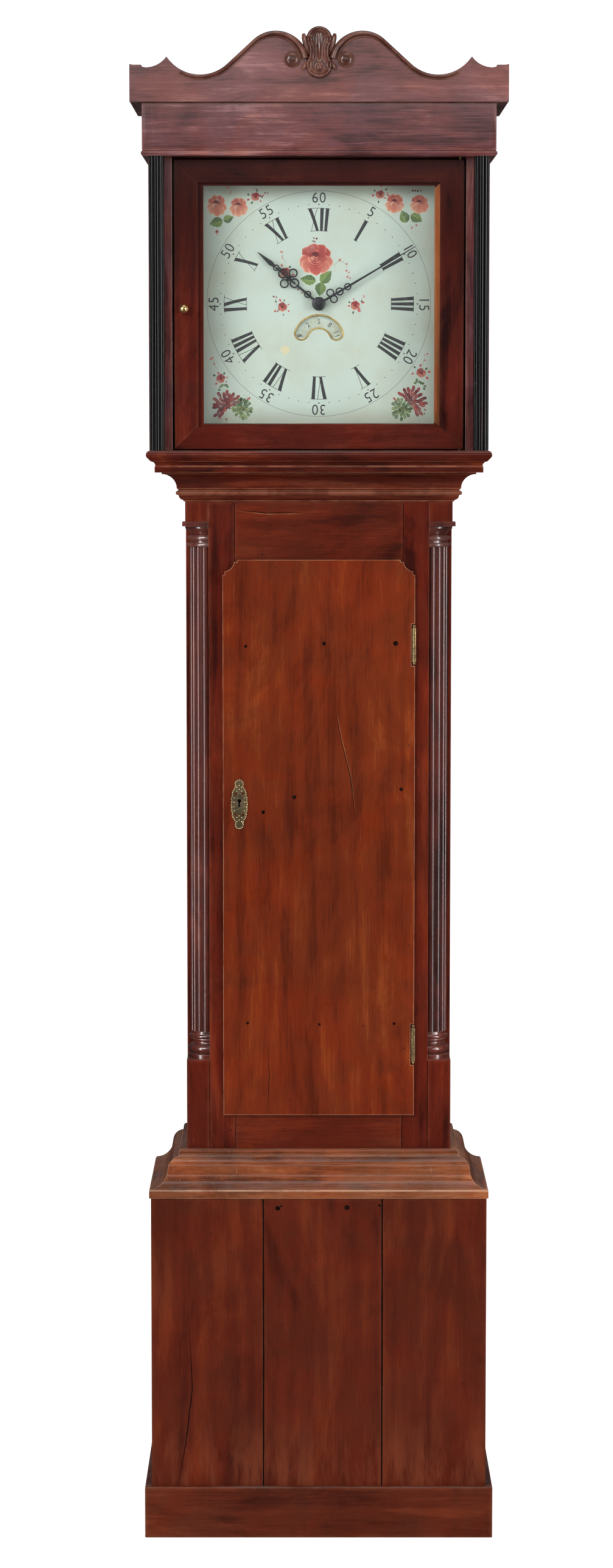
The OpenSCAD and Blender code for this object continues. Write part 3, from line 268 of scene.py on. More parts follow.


# Each finish: three wood colours, figure, gloss, edge wear and a painted edge highlight; what it leaves out is
# as usual
usualWood = {"ribbon": 0.3, "streak": 0.4, "pores": 0.5, "lines": 0.2, "darkLines": 0.3, "gloss": 0.34,
    "wearAndHighlight": 0.4, "blotch": 0.4, "scratches": 0.08, "dust": 0.3, "shine": 0.07, "coat": 0.5,
    "coatRough": 0.13}
woodFinishes = {
    "doorMahogany": {"dark": (92, 33, 12), "mid": (120, 46, 17), "light": (146, 68, 27), "ribbon": 0.22,
        "lines": 0.12, "darkLines": 0.2, "gloss": 0.36, "wearAndHighlight": 1.3, "wearAndHighlightColour": (222, 160, 122),
        "blotch": 0.45, "scratches": 0.12},
    "caseMahogany": {"dark": (56, 15, 8), "mid": (98, 32, 17), "light": (122, 47, 24), "lines": 0.12,
        "darkLines": 0.15, "wearAndHighlight": 0.5, "wearAndHighlightColour": (150, 76, 50), "blotch": 0.45, "scratches": 0.1,
        "coat": 0.35},
    "columnMahogany": {"dark": (50, 16, 12), "mid": (92, 36, 28), "light": (118, 56, 44), "pores": 0.3,
        "lines": 0.15, "gloss": 0.3, "wearAndHighlight": 0.5, "wearAndHighlightColour": (196, 140, 120), "shine": 0.3, "coat": 1.0,
        "coatRough": 0.24},
    "turnedMahogany": {"dark": (52, 18, 13), "mid": (96, 40, 31), "light": (124, 62, 50), "pores": 0.3,
        "lines": 0.15, "gloss": 0.22, "wearAndHighlight": 0.6, "wearAndHighlightColour": (206, 156, 140), "shine": 0.4, "coat": 1.0,
        "coatRough": 0.18},
    "railMahogany": {"dark": (58, 18, 8), "mid": (96, 34, 16), "light": (116, 46, 22), "streak": 0.5,
        "lines": 0.12, "darkLines": 0.15, "wearAndHighlightColour": (140, 74, 50), "scratches": 0.12, "coat": 0.7},
    "baseMahogany": {"dark": (76, 26, 12), "mid": (96, 35, 17), "light": (114, 48, 22), "ribbon": 0.2,
        "streak": 0.3, "lines": 0.14, "darkLines": 0.2, "gloss": 0.36, "wearAndHighlight": 0.3,
        "wearAndHighlightColour": (140, 70, 42), "blotch": 0.5, "foot": (0.08, 0.2, 0.45), "scratches": 0.12},
    "plinthMahogany": {"dark": (74, 29, 16), "mid": (98, 42, 24), "light": (120, 56, 32), "ribbon": 0.4,
        "streak": 0.5, "lines": 0.14, "darkLines": 0.2, "gloss": 0.38, "wearAndHighlight": 0.45,
        "wearAndHighlightColour": (146, 84, 56), "blotch": 0.45, "scratches": 0.12},
    "wornMahogany": {"dark": (96, 48, 26), "mid": (150, 86, 54), "light": (188, 124, 84), "ribbon": 0.35,
        "streak": 0.6, "lines": 0.4, "darkLines": 0.7, "wearAndHighlight": 1.3, "wearAndHighlightColour": (224, 176, 140),
        "blotch": 0.7, "scratches": 0.4, "coat": 0.6},
    "throatMahogany": {"dark": (32, 9, 6), "mid": (84, 28, 16), "light": (118, 54, 33), "ribbon": 0.4,
        "streak": 0.5, "lines": 0.3, "wearAndHighlight": 0.7, "wearAndHighlightColour": (172, 106, 78), "blotch": 0.5},
    "hoodMahogany": {"dark": (66, 33, 37), "mid": (106, 60, 64), "light": (156, 110, 112), "ribbon": 0.35,
        "streak": 0.7, "lines": 0.6, "wearAndHighlight": 0.45, "wearAndHighlightColour": (180, 130, 114), "coat": 0.6},
    "crestMahogany": {"dark": (68, 34, 34), "mid": (116, 68, 68), "light": (156, 106, 104), "ribbon": 0.35,
        "streak": 0.5, "lines": 0.35, "darkLines": 0.25, "gloss": 0.36, "wearAndHighlight": 0.45,
        "wearAndHighlightColour": (184, 128, 112), "blotch": 0.45, "coat": 0.6},
    "carvedMahogany": {"dark": (26, 9, 7), "mid": (58, 24, 18), "light": (88, 42, 34), "ribbon": 0.25,
        "pores": 0.3, "darkLines": 0.2, "gloss": 0.24, "wearAndHighlightColour": (186, 130, 112), "scratches": 0.4,
        "shine": 0.12, "coat": 0.6},
    # Hood door: its top is darkened by a painted shadow (shade), as under the frieze
    "hoodDoorMahogany": {"dark": (36, 11, 9), "mid": (88, 31, 22), "light": (112, 46, 33), "ribbon": 0.25,
        "pores": 0.4, "lines": 0.25, "gloss": 0.3, "wearAndHighlight": 0.35, "wearAndHighlightColour": (150, 88, 66), "blotch": 0.5,
        "shade": (1.6, 1.86, 1.0), "coat": 0.25},
    # A lighter copy of the wood, for a painted highlight on the lit inner edge of the hood door
    "litMahogany": {"dark": (112, 66, 40), "mid": (150, 92, 56), "light": (180, 122, 80), "streak": 0.5,
        "pores": 0.3, "gloss": 0.42, "wearAndHighlightColour": (220, 160, 116), "blotch": 0.3, "scratches": 0.4},
    "maskWood": {"dark": (30, 12, 10), "mid": (66, 30, 22), "light": (94, 48, 34), "pores": 0.4, "gloss": 0.5,
        "wearAndHighlightColour": (150, 96, 70), "scratches": 0.4},
    "pineBoards": {"dark": (104, 72, 44), "mid": (150, 110, 70), "light": (180, 140, 96), "ribbon": 0.35,
        "streak": 0.6, "pores": 0.25, "gloss": 0.72, "wearAndHighlight": 0.5, "wearAndHighlightColour": (194, 160, 118),
        "blotch": 0.5, "scratches": 0.4, "coat": 0.0},
}


def woodMaterial(name, finish):
    finish = usualWood | finish
    material = startMaterial(name)
    point = objectPoint()
    figure = node("Group", {"Vector": attribute("grainPos", "Vector"), "Dark": rgb(*finish["dark"]),
        "Mid": rgb(*finish["mid"]), "Light": rgb(*finish["light"]), "Ribbon": finish["ribbon"],
        "Streak": finish["streak"], "Pores": finish["pores"], "Lines": finish["lines"],
        "Dark Lines": finish["darkLines"]}, node_tree=woodFigure)
    polish = node("Group", {"Vector": point, "Color": figure["Color"], "Edge": attribute("edgeWearAndHighlight", "Fac"),
        "Wear And Highlight Color": rgb(*finish["wearAndHighlightColour"]), "Wear And Highlight": finish["wearAndHighlight"], "Blotch": finish["blotch"],
        "Gloss": finish["gloss"], "Scratches": finish["scratches"], "Dust": finish["dust"]},
        node_tree=oldPolish)
    colour = polish["Color"]
    if "foot" in finish:
        low, high, strength = finish["foot"]
        rubbed = between(noise(point, (40, 40, 7), 6, 0.7), 0.4, 0.62)
        fade = between(axesOf(point)["Z"], high, low) * strength
        colour = mix(fade * rubbed, colour, rgb(*finish["wearAndHighlightColour"]))
    # Painted shadow: the colour darkens towards the top, as in the shade under the frieze
    if "shade" in finish:
        low, high, strength = finish["shade"]
        shadowedColour = tinted(colour, 0.42, 0.4, 0.44)
        colour = mix(between(axesOf(point)["Z"], low, high) * strength, colour, shadowedColour)
    return endMaterial(material, {"Base Color": colour, "Roughness": polish["Roughness"],
        "Specular IOR Level": finish["shine"], "Coat Weight": finish["coat"],
        "Coat Roughness": finish["coatRough"]}, figure["Height"] * 0.35 + polish["Height"], 0.00035, 0.6)


wood = {name: woodMaterial(name, finish) for name, finish in woodFinishes.items()}


# Pillars: black stain rubbed thin on the ridges, with a little brown showing
def ebonisedMaterial():
    settings = {"black": (3, 3, 4), "brown": (52, 32, 26), "gloss": 0.3, "rub": 0.3}
    material = startMaterial("ebonised")
    point, edge = objectPoint(), attribute("edgeWearAndHighlight", "Fac")
    thin = between(noise(point, (60, 60, 5), 6, 0.7), 0.56, 0.78)
    colour = mix(held(thin + edge * 0.5) * settings["rub"], rgb(*settings["black"]), rgb(*settings["brown"]))
    polish = node("Group", {"Vector": point, "Color": colour, "Edge": edge, "Wear And Highlight Color": rgb(84, 70, 62),
        "Wear And Highlight": 0.1, "Blotch": 0.3, "Gloss": settings["gloss"], "Scratches": 0.12, "Dust": 0.1},
        node_tree=oldPolish)
    return endMaterial(material, {"Base Color": polish["Color"], "Roughness": polish["Roughness"],
        "Specular IOR Level": 0.04, "Coat Weight": 0.45, "Coat Roughness": 0.07},
        polish["Height"], 0.0003, 0.4)


# Each metal: bright and tarnished colour, age, gloss and brush marks
metalFinishes = {
    "hingeBrass": ((156, 132, 92), (84, 64, 42), 0.85, 0.3, 0.2),
    "escutcheonBrass": ((148, 130, 98), (58, 47, 33), 0.95, 0.34, 0.2),
    "beadBrass": ((226, 204, 156), (150, 126, 86), 0.5, 0.26, 0.1),
    "knobBrass": ((226, 190, 132), (132, 92, 56), 0.35, 0.2, 0.1),
    "movementBrass": ((206, 166, 92), (126, 92, 48), 0.45, 0.3, 0.5),
    "bobBrass": ((204, 164, 96), (112, 80, 44), 0.55, 0.26, 0.2),
    "bellMetal": ((196, 182, 142), (112, 100, 74), 0.5, 0.3, 0.2),
    "filedSteel": ((138, 134, 128), (66, 54, 46), 0.6, 0.36, 0.5),
    "castIron": ((62, 60, 58), (54, 38, 30), 0.7, 0.6, 0.1),
    "gilt": ((196, 168, 104), (124, 100, 62), 0.7, 0.42, 0.1),
    "blackSteel": ((30, 31, 36), (16, 14, 14), 0.5, 0.32, 0.1),
}


def metalMaterial(name, bright, tarnish, age, gloss, brush):
    material = startMaterial(name)
    aged = node("Group", {"Vector": objectPoint(), "Bright": rgb(*bright), "Tarnish": rgb(*tarnish),
        "Age": age, "Gloss": gloss, "Brush": brush}, node_tree=agedMetal)
    black = name == "blackSteel"  # hands: dark skin over the steel
    return endMaterial(material, {"Base Color": aged["Color"], "Roughness": aged["Roughness"],
        "Metallic": 0.3 if black else aged["Metallic"]}, aged["Height"],
        *((0.0001, 0.4) if black else (0.00012, 0.5)))


metal = {name: metalMaterial(name, *finish) for name, finish in metalFinishes.items()}


# Dial paint: white with a green cast, dirty towards the edges, with fine crackle and two worn spots
def dialPaintMaterial():
    settings = {"white": (204, 217, 208), "cream": (198, 200, 176), "dirt": (150, 142, 118), "crackle": 0.25,
        "spots": [((-0.046, -0.063), 0.0075, (228, 214, 170)), ((0.0535, -0.064), 0.005, (206, 210, 194))]}
    material = startMaterial("dialPaint")
    point = objectPoint()
    low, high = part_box("dial_plate")
    local = vectorMath("SUBTRACT", point, {1: tuple((low + high) / 2)})
    axes = axesOf(local)
    reach = calc("MAXIMUM", calc("ABSOLUTE", axes["X"]), calc("ABSOLUTE", axes["Z"]))
    cloud, fine = noise(point, 11.0, 5, 0.6), noise(point, 160.0, 4, 0.6)
    colour = mix(between(cloud, 0.4, 0.75) * 0.4, rgb(*settings["white"]), rgb(*settings["cream"]))
    rim = between(reach, 0.135, 0.165) + (cloud - 0.5) * 0.5
    colour = mix(held(rim * 0.45), colour, rgb(*settings["dirt"]))
    for (across, up), radius, tint in settings["spots"]:
        offset = vectorMath("DISTANCE", local, {1: (across, 0, up)})["Value"] + (fine - 0.5) * 0.006
        colour = mix(between(offset, radius, radius * 0.6) * 0.8, colour, rgb(*tint))
    cells = node("TexVoronoi", {"Vector": point, "Scale": 170.0}, feature="DISTANCE_TO_EDGE")["Distance"]
    crack = between(cells, 0.03, 0.0) * between(cloud, 0.45, 0.7)
    return endMaterial(material, {"Base Color": mix(crack * settings["crackle"], colour, rgb(150, 140, 120)),
        "Roughness": between(fine, 0.2, 0.8, 0.34, 0.5)}, fine * 0.3 - crack, 0.00015)


# Painted flowers carry their colour in an attribute, broken up like brushed oil paint
def brushedPaintMaterial():
    material = startMaterial("brushedPaint")
    point = objectPoint()
    strokes = noise(point, (420, 420, 900), 4, 0.7, 0.6)
    faded = mix(between(noise(point, 90.0, 5, 0.7), 0.5, 0.8) * 0.3, attribute("paint", "Color"),
        rgb(214, 226, 216))
    colour = mix(between(strokes, 0.35, 0.65) * 0.28, faded, tinted(faded, 0.62, 0.6, 0.62))
    return endMaterial(material, {"Base Color": colour, "Roughness": between(strokes, 0.2, 0.8, 0.35, 0.55)},
        strokes)


def letterPaintMaterial():
    material = startMaterial("letterPaint")
    thin = noise(objectPoint(), 120.0, 6, 0.75)
    colour = mix(between(thin, 0.56, 0.74) * 0.45, attribute("paint", "Color"), rgb(150, 158, 152))
    return endMaterial(material, {"Base Color": colour, "Roughness": between(thin, 0.3, 0.7, 0.3, 0.5)}, thin,
        0.00005, 0.4)


def crackMaterial():
    material = startMaterial("openCrack")
    grime = noise(objectPoint(), 300.0, 4, 0.6)
    colour = mix(between(grime, 0.35, 0.7), rgb(12, 6, 5), rgb(40, 22, 16))
    return endMaterial(material, {"Base Color": colour, "Roughness": between(grime, 0.3, 0.7, 0.7, 0.95),
        "Specular IOR Level": 0.02})


def datePaintMaterial():
    material = startMaterial("datePaint")
    point = objectPoint()
    stain = noise(point, 70.0, 5, 0.6)
    colour = mix(between(stain, 0.4, 0.75), rgb(206, 216, 206), rgb(186, 186, 160))
    return endMaterial(material, {"Base Color": colour, "Roughness": between(stain, 0.2, 0.8, 0.45, 0.6)},
        noise(point, 600.0, 3, 0.6), 0.0001, 0.4)


# Old window glass: clear, faintly green, with a slow ripple and a little dust
def oldGlassMaterial():
    material = startMaterial("oldGlass")
    point = objectPoint()
    smears = between(noise(point, 26.0, 6, 0.7), 0.5, 0.8, 0.0, 0.06)
    return endMaterial(material, {"Base Color": (0.97, 0.99, 0.975, 1), "Metallic": 0.0,
        "Transmission Weight": 1.0, "IOR": 1.12, "Roughness": smears}, noise(point, 9.0, 1, 0.4), 0.0008, 0.15)


def ropeMaterial():
    settings = {"light": (186, 162, 116), "dark": (92, 70, 42)}
    material = startMaterial("hempRope")
    point = objectPoint()
    fuzz = noise(point, 900.0, 4, 0.7)
    # Painted shade: darker in the valleys between the strands, broken up by the fuzz
    shade = held(attribute("strandValley", "Fac") + (fuzz - 0.5) * 0.9)
    colour = mix(shade, rgb(*settings["light"]), rgb(*settings["dark"]))
    colour = mix(between(noise(point, 40.0, 4, 0.6), 0.5, 0.75) * 0.35, colour, rgb(70, 60, 48))
    return endMaterial(material, {"Base Color": colour, "Roughness": between(fuzz, 0.2, 0.8, 0.8, 0.95)},
        fuzz, 0.0006, 0.8)


ebonised, dialPaint, datePaint = ebonisedMaterial(), dialPaintMaterial(), datePaintMaterial()
brushedPaint, letterPaint, openCrack = brushedPaintMaterial(), letterPaintMaterial(), crackMaterial()
oldGlass, hempRope = oldGlassMaterial(), ropeMaterial()
print("materials built:", len(bpy.data.materials))


# Small helpers for meshes
def linked(name, data):
    piece = bpy.data.objects.new(name, data)
    bpy.context.scene.collection.objects.link(piece)
    return piece


def smoothed(data, angle):
    data.shade_smooth()
    data.set_sharp_from_angle(angle=math.radians(angle))


def meshData(name, mesh):
    data = bpy.data.meshes.new(name)
    mesh.to_mesh(data)
    mesh.free()
    return data


def smoothPiece(name, mesh, angle=35):
    piece = linked(name, meshData(name, mesh))
    smoothed(piece.data, angle)
    return piece


def settle(piece, material, nodeName, stands=True):
    if material is not None:
        piece.data.materials.clear()
        piece.data.materials.append(material)
    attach(piece, bodyOf[nodeName])
    if stands:
        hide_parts(nodeName)


# Quads between rows of points; a row of one point closes to a pole
def skin(mesh, rows, closed=True):
    for low, high in zip(rows, rows[1:]):
        count = max(len(low), len(high))
        for k in range(count if closed else count - 1):
            ahead = (k + 1) % count
            corners = dict.fromkeys((low[k % len(low)], low[ahead % len(low)], high[ahead % len(high)],
                high[k % len(high)]))
            if len(corners) > 2:
                mesh.faces.new(list(corners))


def lathe(profile, segments, matrix):
    mesh = bmesh.new()
    turns = [2 * math.pi * k / segments for k in range(segments)]
    skin(mesh, [[mesh.verts.new((radius * math.cos(a), radius * math.sin(a), up))
        for a in (turns if radius > 1e-7 else turns[:1])] for radius, up in profile])
    bmesh.ops.recalc_face_normals(mesh, faces=mesh.faces)
    mesh.transform(matrix)
    return mesh


def takeIn(mesh, part):
    holder = meshData("part", part)
    mesh.from_mesh(holder)
    bpy.data.meshes.remove(holder)


def arc(cx, cy, radius, start, end, steps):
    turns = [math.radians(start + (end - start) * i / steps) for i in range(steps + 1)]
    return [(cx + radius * math.cos(a), cy + radius * math.sin(a)) for a in turns]


# Direction of a drawn line at each of its points
def headings(points):
    out = []
    for i in range(len(points)):
        ahead, behind = points[min(i + 1, len(points) - 1)], points[max(i - 1, 0)]
        dx, dz = ahead[0] - behind[0], ahead[1] - behind[1]
        size = math.hypot(dx, dz) or 1
        out.append((dx / size, dz / size))
    return out


# Frame of a flat thing that faces the front: x to the right, y up, z out of the dial
def facingFront(x, y, z):
    return Matrix.Translation((x, y, z)) @ Matrix.Rotation(math.radians(90), 4, "X")


def evaluated(piece):
    depsgraph = bpy.context.evaluated_depsgraph_get()
    return bpy.data.meshes.new_from_object(piece.evaluated_get(depsgraph), depsgraph=depsgraph)


# Boards: softened copies of the wooden nodes
def islandsOf(mesh):
    seen, groups = set(), []
    for start in mesh.verts:
        if start in seen:
            continue
        stack, group = [start], []
        seen.add(start)
        while stack:
            vert = stack.pop()
            group.append(vert)
            for edge in vert.link_edges:
                other = edge.other_vert(vert)
                if other not in seen:
                    seen.add(other)
                    stack.append(other)
        groups.append(group)
    return groups


def writeGrain(mesh, name, axis=None):
    layer = mesh.verts.layers.float_vector.get("grainPos") or mesh.verts.layers.float_vector.new("grainPos")
    groups = islandsOf(mesh)
    groups.sort(key=lambda group: (round(min(v.co.x for v in group), 4),
        round(min(v.co.z for v in group), 4)))
    for index, group in enumerate(groups):
        spread = [max(v.co[k] for v in group) - min(v.co[k] for v in group) for k in range(3)]
        along = axis if axis is not None else spread.index(max(spread))
        dice = random.Random(f"{name}{index}")
        shift = Vector((dice.uniform(-3, 3), dice.uniform(-3, 3), dice.uniform(-3, 3)))
        order = ((1, 2, 0), (0, 2, 1), (0, 1, 2))[along]
        for vert in group:
            vert[layer] = Vector([vert.co[k] for k in order]) + shift


# Rounded edges and a band beside them, lighter both as worn wood and as a painted highlight; weighted normals
# keep the broad faces flat
def softened(nodeName, ending, rounding, material, axis=None, corner=28):
    falloff, narrow = 0.005, 0.013
    mesh = bmesh.new()
    mesh.from_mesh(nodes[nodeName].data)
    bmesh.ops.remove_doubles(mesh, verts=mesh.verts, dist=2e-5)
    bmesh.ops.dissolve_limit(mesh, angle_limit=math.radians(0.7), verts=mesh.verts, edges=mesh.edges)
    wearAndHighlight = mesh.loops.layers.float.new("edgeWearAndHighlight")
    sharp = [e for e in mesh.edges if len(e.link_faces) == 2 and e.calc_face_angle(0) > math.radians(corner)]
    rounded = set(bmesh.ops.bevel(mesh, geom=sharp, offset=rounding * mm, segments=2, profile=0.55,
        affect="EDGES", clamp_overlap=True)["faces"])
    for face in rounded:
        for loop in face.loops:
            loop[wearAndHighlight] = 1.0
    flat = [f for f in mesh.faces if f not in rounded and len(f.verts) == 4
        and min(e.calc_length() for e in f.edges) > narrow
        and all(any(other in rounded for other in e.link_faces) for e in f.edges)]
    if flat:
        inset = bmesh.ops.inset_individual(mesh, faces=flat, thickness=falloff, use_even_offset=True)
        inner = set(flat)
        for face in inset["faces"]:
            for loop in face.loops:
                loop[wearAndHighlight] = 0.0 if any(f in inner for f in loop.vert.link_faces) else 0.4
    name = nodeName + ending
    writeGrain(mesh, name, axis)
    piece = smoothPiece(name, mesh, 40)
    modifier = piece.modifiers.new("broadFaces", "WEIGHTED_NORMAL")
    modifier.keep_sharp, modifier.weight = True, 95
    data = evaluated(piece)
    piece.modifiers.remove(modifier)
    piece.data = data
    settle(piece, material, nodeName)


# node: finish, edge rounding in mm, grain axis where the longest side isn't it
boards = {
    "plinth_boards": ("plinthMahogany", 1.2), "base_front_boards": ("baseMahogany", 1.0),
    "base_sides": ("baseMahogany", 1.0), "base_moulding": ("wornMahogany", 0.9),
    "trunk_sides": ("caseMahogany", 1.0), "trunk_stiles": ("caseMahogany", 0.5),
    "trunk_rails": ("railMahogany", 0.5, 0), "corner_posts": ("caseMahogany", 0.6, 2),
    "column_shafts": ("columnMahogany", 0.2, 2), "column_turnings": ("turnedMahogany", 0.35, 2),
    "throat_moulding": ("throatMahogany", 0.5), "trunk_door": ("doorMahogany", 1.8, 2),
    "hood_sides": ("caseMahogany", 1.0), "hood_stiles": ("hoodMahogany", 0.6, 2),
    "hood_base_moulding": ("throatMahogany", 0.6), "dial_mask": ("maskWood", 1.0, 0),
    "frieze_boards": ("hoodMahogany", 1.2), "frieze_bead": ("hoodMahogany", 0.4),
    "hood_top_boards": ("hoodMahogany", 1.0, 1), "cresting_board": ("crestMahogany", 1.0, 0),
    "hood_door_frame": ("hoodDoorMahogany", 1.2), "base_floor": ("pineBoards", 0.8),
    "backboard": ("pineBoards", 1.0, 2), "seatboard": ("pineBoards", 1.0, 0),
}
for nodeName, (finish, rounding, *axis) in boards.items():
    softened(nodeName, "_board", rounding, wood[finish], *axis)
print("boards softened:", len(boards))


# Painted highlight: the right inner edge of the hood door gets a lighter orange wood, as where it catches the
# light
def lightDoorEdge():
    data = bpy.data.objects["hood_door_frame_board"].data
    data.materials.append(wood["litMahogany"])
    low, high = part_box("glass_pane")
    for face in data.polygons:
        c = face.center
        inside = high.x - 9 * mm < c.x < high.x + 2.2 * mm and low.z < c.z < high.z
        if inside and (face.normal.x < -0.3 or face.normal.y < -0.3):
            face.material_index = 1


lightDoorEdge()


# Node trees for shapes: named inputs, and an end that realizes the instances and sets the material
def newShapeTree(name, inputs):
    return newGroup(name, "GeometryNodeTree", {"Geometry": "Geometry", **inputs, "Material": "Material"},
        {"Geometry": "Geometry"})


def endShapeTree(geometry, given, out):
    realized = shape("RealizeInstances", {"Geometry": geometry})
    join(shape("SetMaterial", {"Geometry": realized, "Material": given["Material"]}), out["Geometry"])


def grownPiece(name, tree, values, carrier=None, move=None):
    if carrier is None:
        carrier = linked(name + "Start", bpy.data.meshes.new(name + "Start"))
    modifier = carrier.modifiers.new("shape", "NODES")
    modifier.node_group = tree
    for item in tree.interface.items_tree:
        if item.in_out == "INPUT" and item.name in values:
            modifier[item.identifier] = values[item.name]
    data = evaluated(carrier)
    carrier.modifiers.remove(modifier)
    bpy.data.objects.remove(carrier)
    if move is not None:
        data.transform(move)
    data.name = name
    return linked(name, data)


# A round section pressed into lobes: 1 on the ridges and 0 in the valleys
def lobeWave(place, halfLobes):
    axes = axesOf(place)
    return calc("ABSOLUTE", calc("COSINE", calc("ARCTAN2", axes["Y"], axes["X"]) * halfLobes))


def pressed(section, place, ratio):
    return shape("SetPosition", {"Geometry": section,
        "Position": vectorMath("SCALE", place, {"Scale": ratio})})


# Reeded pillar: a lobed section drawn up a line, the two copies being instances on two points
def makePillars():
    settings = {"reeds": 8, "reedDepth": 2.2 * mm, "entasis": 0.25 * mm}
    low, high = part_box("hood_pillars")
    radius = (high.y - low.y) / 2
    tree, given, out = newShapeTree("reededPillar", {"Radius": 0.01, "Reeds": 12.0, "Reed Depth": 0.0015,
        "Height": 0.4, "Spread": 0.2})
    section = shape("CurvePrimitiveCircle", {"Resolution": 144, "Radius": given["Radius"]})
    place = shape("InputPosition", {})
    sink = (1.0 - calc("SQRT", lobeWave(place, given["Reeds"] / 2.0))) * given["Reed Depth"]
    section = pressed(section, place, 1.0 - sink / given["Radius"])
    top = node("CombineXYZ", {"Z": given["Height"]})
    shaft = shape("CurvePrimitiveLine", {"Start": (0, 0, 0), "End": top})
    shaft = shape("ResampleCurve", {"Curve": shaft, "Count": 24})
    body = shape("CurveToMesh", {"Curve": shaft, "Profile Curve": section, "Fill Caps": True})
    right = node("CombineXYZ", {"X": given["Spread"]})
    left = vectorMath("SCALE", right, {"Scale": -1.0})
    pair = shape("MeshLine", {"Count": 2, "Start Location": left, "Offset": right}, mode="END_POINTS")
    endShapeTree(shape("InstanceOnPoints", {"Points": pair, "Instance": body}), given, out)
    pair = grownPiece("hood_pillars_reeded", tree, {"Radius": radius - settings["entasis"],
        "Reeds": float(settings["reeds"]), "Reed Depth": settings["reedDepth"], "Height": high.z - low.z,
        "Spread": high.x - radius, "Material": ebonised},
        move=Matrix.Translation((0, (low.y + high.y) / 2, low.z)))
    smoothed(pair.data, 50)
    settle(pair, None, "hood_pillars")


makePillars()
print("pillars reeded")


# Turned knob of the hood door: rose, neck and flattened ball with a ring near its widest part
def makeKnob():
    low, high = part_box("hood_door_knob")
    profile = [(0, 0), (4.3, 0), (4.5, 0.5), (4.2, 1.2), (3.0, 1.9), (2.4, 2.8), (2.4, 4.2), (3.4, 4.9)]
    profile += arc(0, 9.5, 6.2, -38, 84, 14) + [(0, 15.7)]
    scale = (high.y - low.y) / 15.7
    knob = lathe([(r * mm * 0.99, h * scale) for r, h in profile], 48,
        facingFront((low.x + high.x) / 2, high.y, (low.z + high.z) / 2))
    settle(smoothPiece("hood_door_knob_turned", knob, 50), metal["knobBrass"], "hood_door_knob")


makeKnob()


# Cut metal pieces: copies of the nodes with their edges broken by a file
filed = {
    "hour_hand": (0.3, "blackSteel"), "minute_hand": (0.3, "blackSteel"),
    "frame_hinge_leaves": (0.25, "hingeBrass"), "door_hinge_leaves": (0.2, "hingeBrass"),
    "escutcheon": (0.4, "escutcheonBrass"), "movement_plates": (0.4, "movementBrass"),
    "back_cock": (0.4, "movementBrass"), "lock_case": (0.4, "filedSteel"), "bell_stand": (0.3, "filedSteel"),
    "hammer": (0.2, "filedSteel"), "driving_weight": (0.8, "castIron"), "pendulum_bob": (0.5, "bobBrass"),
    "weight_pulley": (0.3, "bobBrass"),
}
for nodeName, (rounding, finish) in filed.items():
    softened(nodeName, "_filed", rounding, metal[finish], corner=32)
print("metal edges broken:", len(filed))

dialLow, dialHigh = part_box("dial_plate")
dialCentre = ((dialLow.x + dialHigh.x) / 2, dialLow.y, (dialLow.z + dialHigh.z) / 2)


# Domed black collet that holds the hands
def makeHandBoss():
    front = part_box("minute_arbor")[0].y
    profile = [(0, 0), (9.3, 0), (9.4, 0.8), (9.0, 1.5), (7.2, 2.3), (5.2, 2.7), (4.9, 3.3), (2.2, 3.6),
        (1.9, 4.2), (0, 4.4)]
    boss = lathe(profile, 48, facingFront(0, front - 0.1 * mm, dialCentre[2]) @ Matrix.Scale(mm, 4))
    settle(smoothPiece("hand_collet", boss, 40), metal["blackSteel"], "minute_hand", False)


makeHandBoss()


# Beads round the escutcheon's scalloped edge, as instances on points
def makeEscutcheonBeads():
    settings = {"bead": 0.95 * mm, "inset": 0.9 * mm, "turns": 26}
    low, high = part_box("escutcheon")
    x, z = (low.x + high.x) / 2, (low.z + high.z) / 2
    lobes = [(k * 7.1 * mm, (11.8 - 0.34 * k * k - (1.6 if abs(k) == 3 else 0)) * mm) for k in range(-4, 5)]
    points = []
    for up, radius in lobes:
        for i in range(settings["turns"]):
            a = 2 * math.pi * i / settings["turns"]
            p = (math.cos(a) * (radius - settings["inset"]), up + math.sin(a) * (radius - settings["inset"]))
            outside = all(math.hypot(p[0], p[1] - other) > r - settings["inset"] * 1.02 for other, r in lobes
                if other != up)
            if outside and all(math.hypot(p[0] - q[0], p[1] - q[1]) > 1.7 * settings["bead"] for q in points):
                points.append(p)
    for up in (-24, -18.5, 18.5, 24):
        points += [(side * 3.2 * mm, up * mm) for side in (-1, 1)] + [(0, (up + 2.4) * mm)]
    points += [(side * 7.2 * mm, up * mm) for side in (-1, 1) for up in (-9, -3, 3, 9)]
    tree, given, out = newShapeTree("edgeBeads", {"Bead Radius": 0.001})
    ball = shape("MeshIcoSphere", {"Radius": given["Bead Radius"], "Subdivisions": 2})
    endShapeTree(shape("InstanceOnPoints", {"Points": given["Geometry"], "Instance": ball}), given, out)
    start = bpy.data.meshes.new("beadPlaces")
    start.from_pydata([(x + px, low.y, z + pz) for px, pz in points], [], [])
    beads = grownPiece("escutcheon_beads", tree, {"Bead Radius": settings["bead"],
        "Material": metal["beadBrass"]}, carrier=linked("beadPlaces", start))
    beads.data.shade_smooth()
    settle(beads, None, "escutcheon", False)
    print("escutcheon beads:", len(points))


makeEscutcheonBeads()


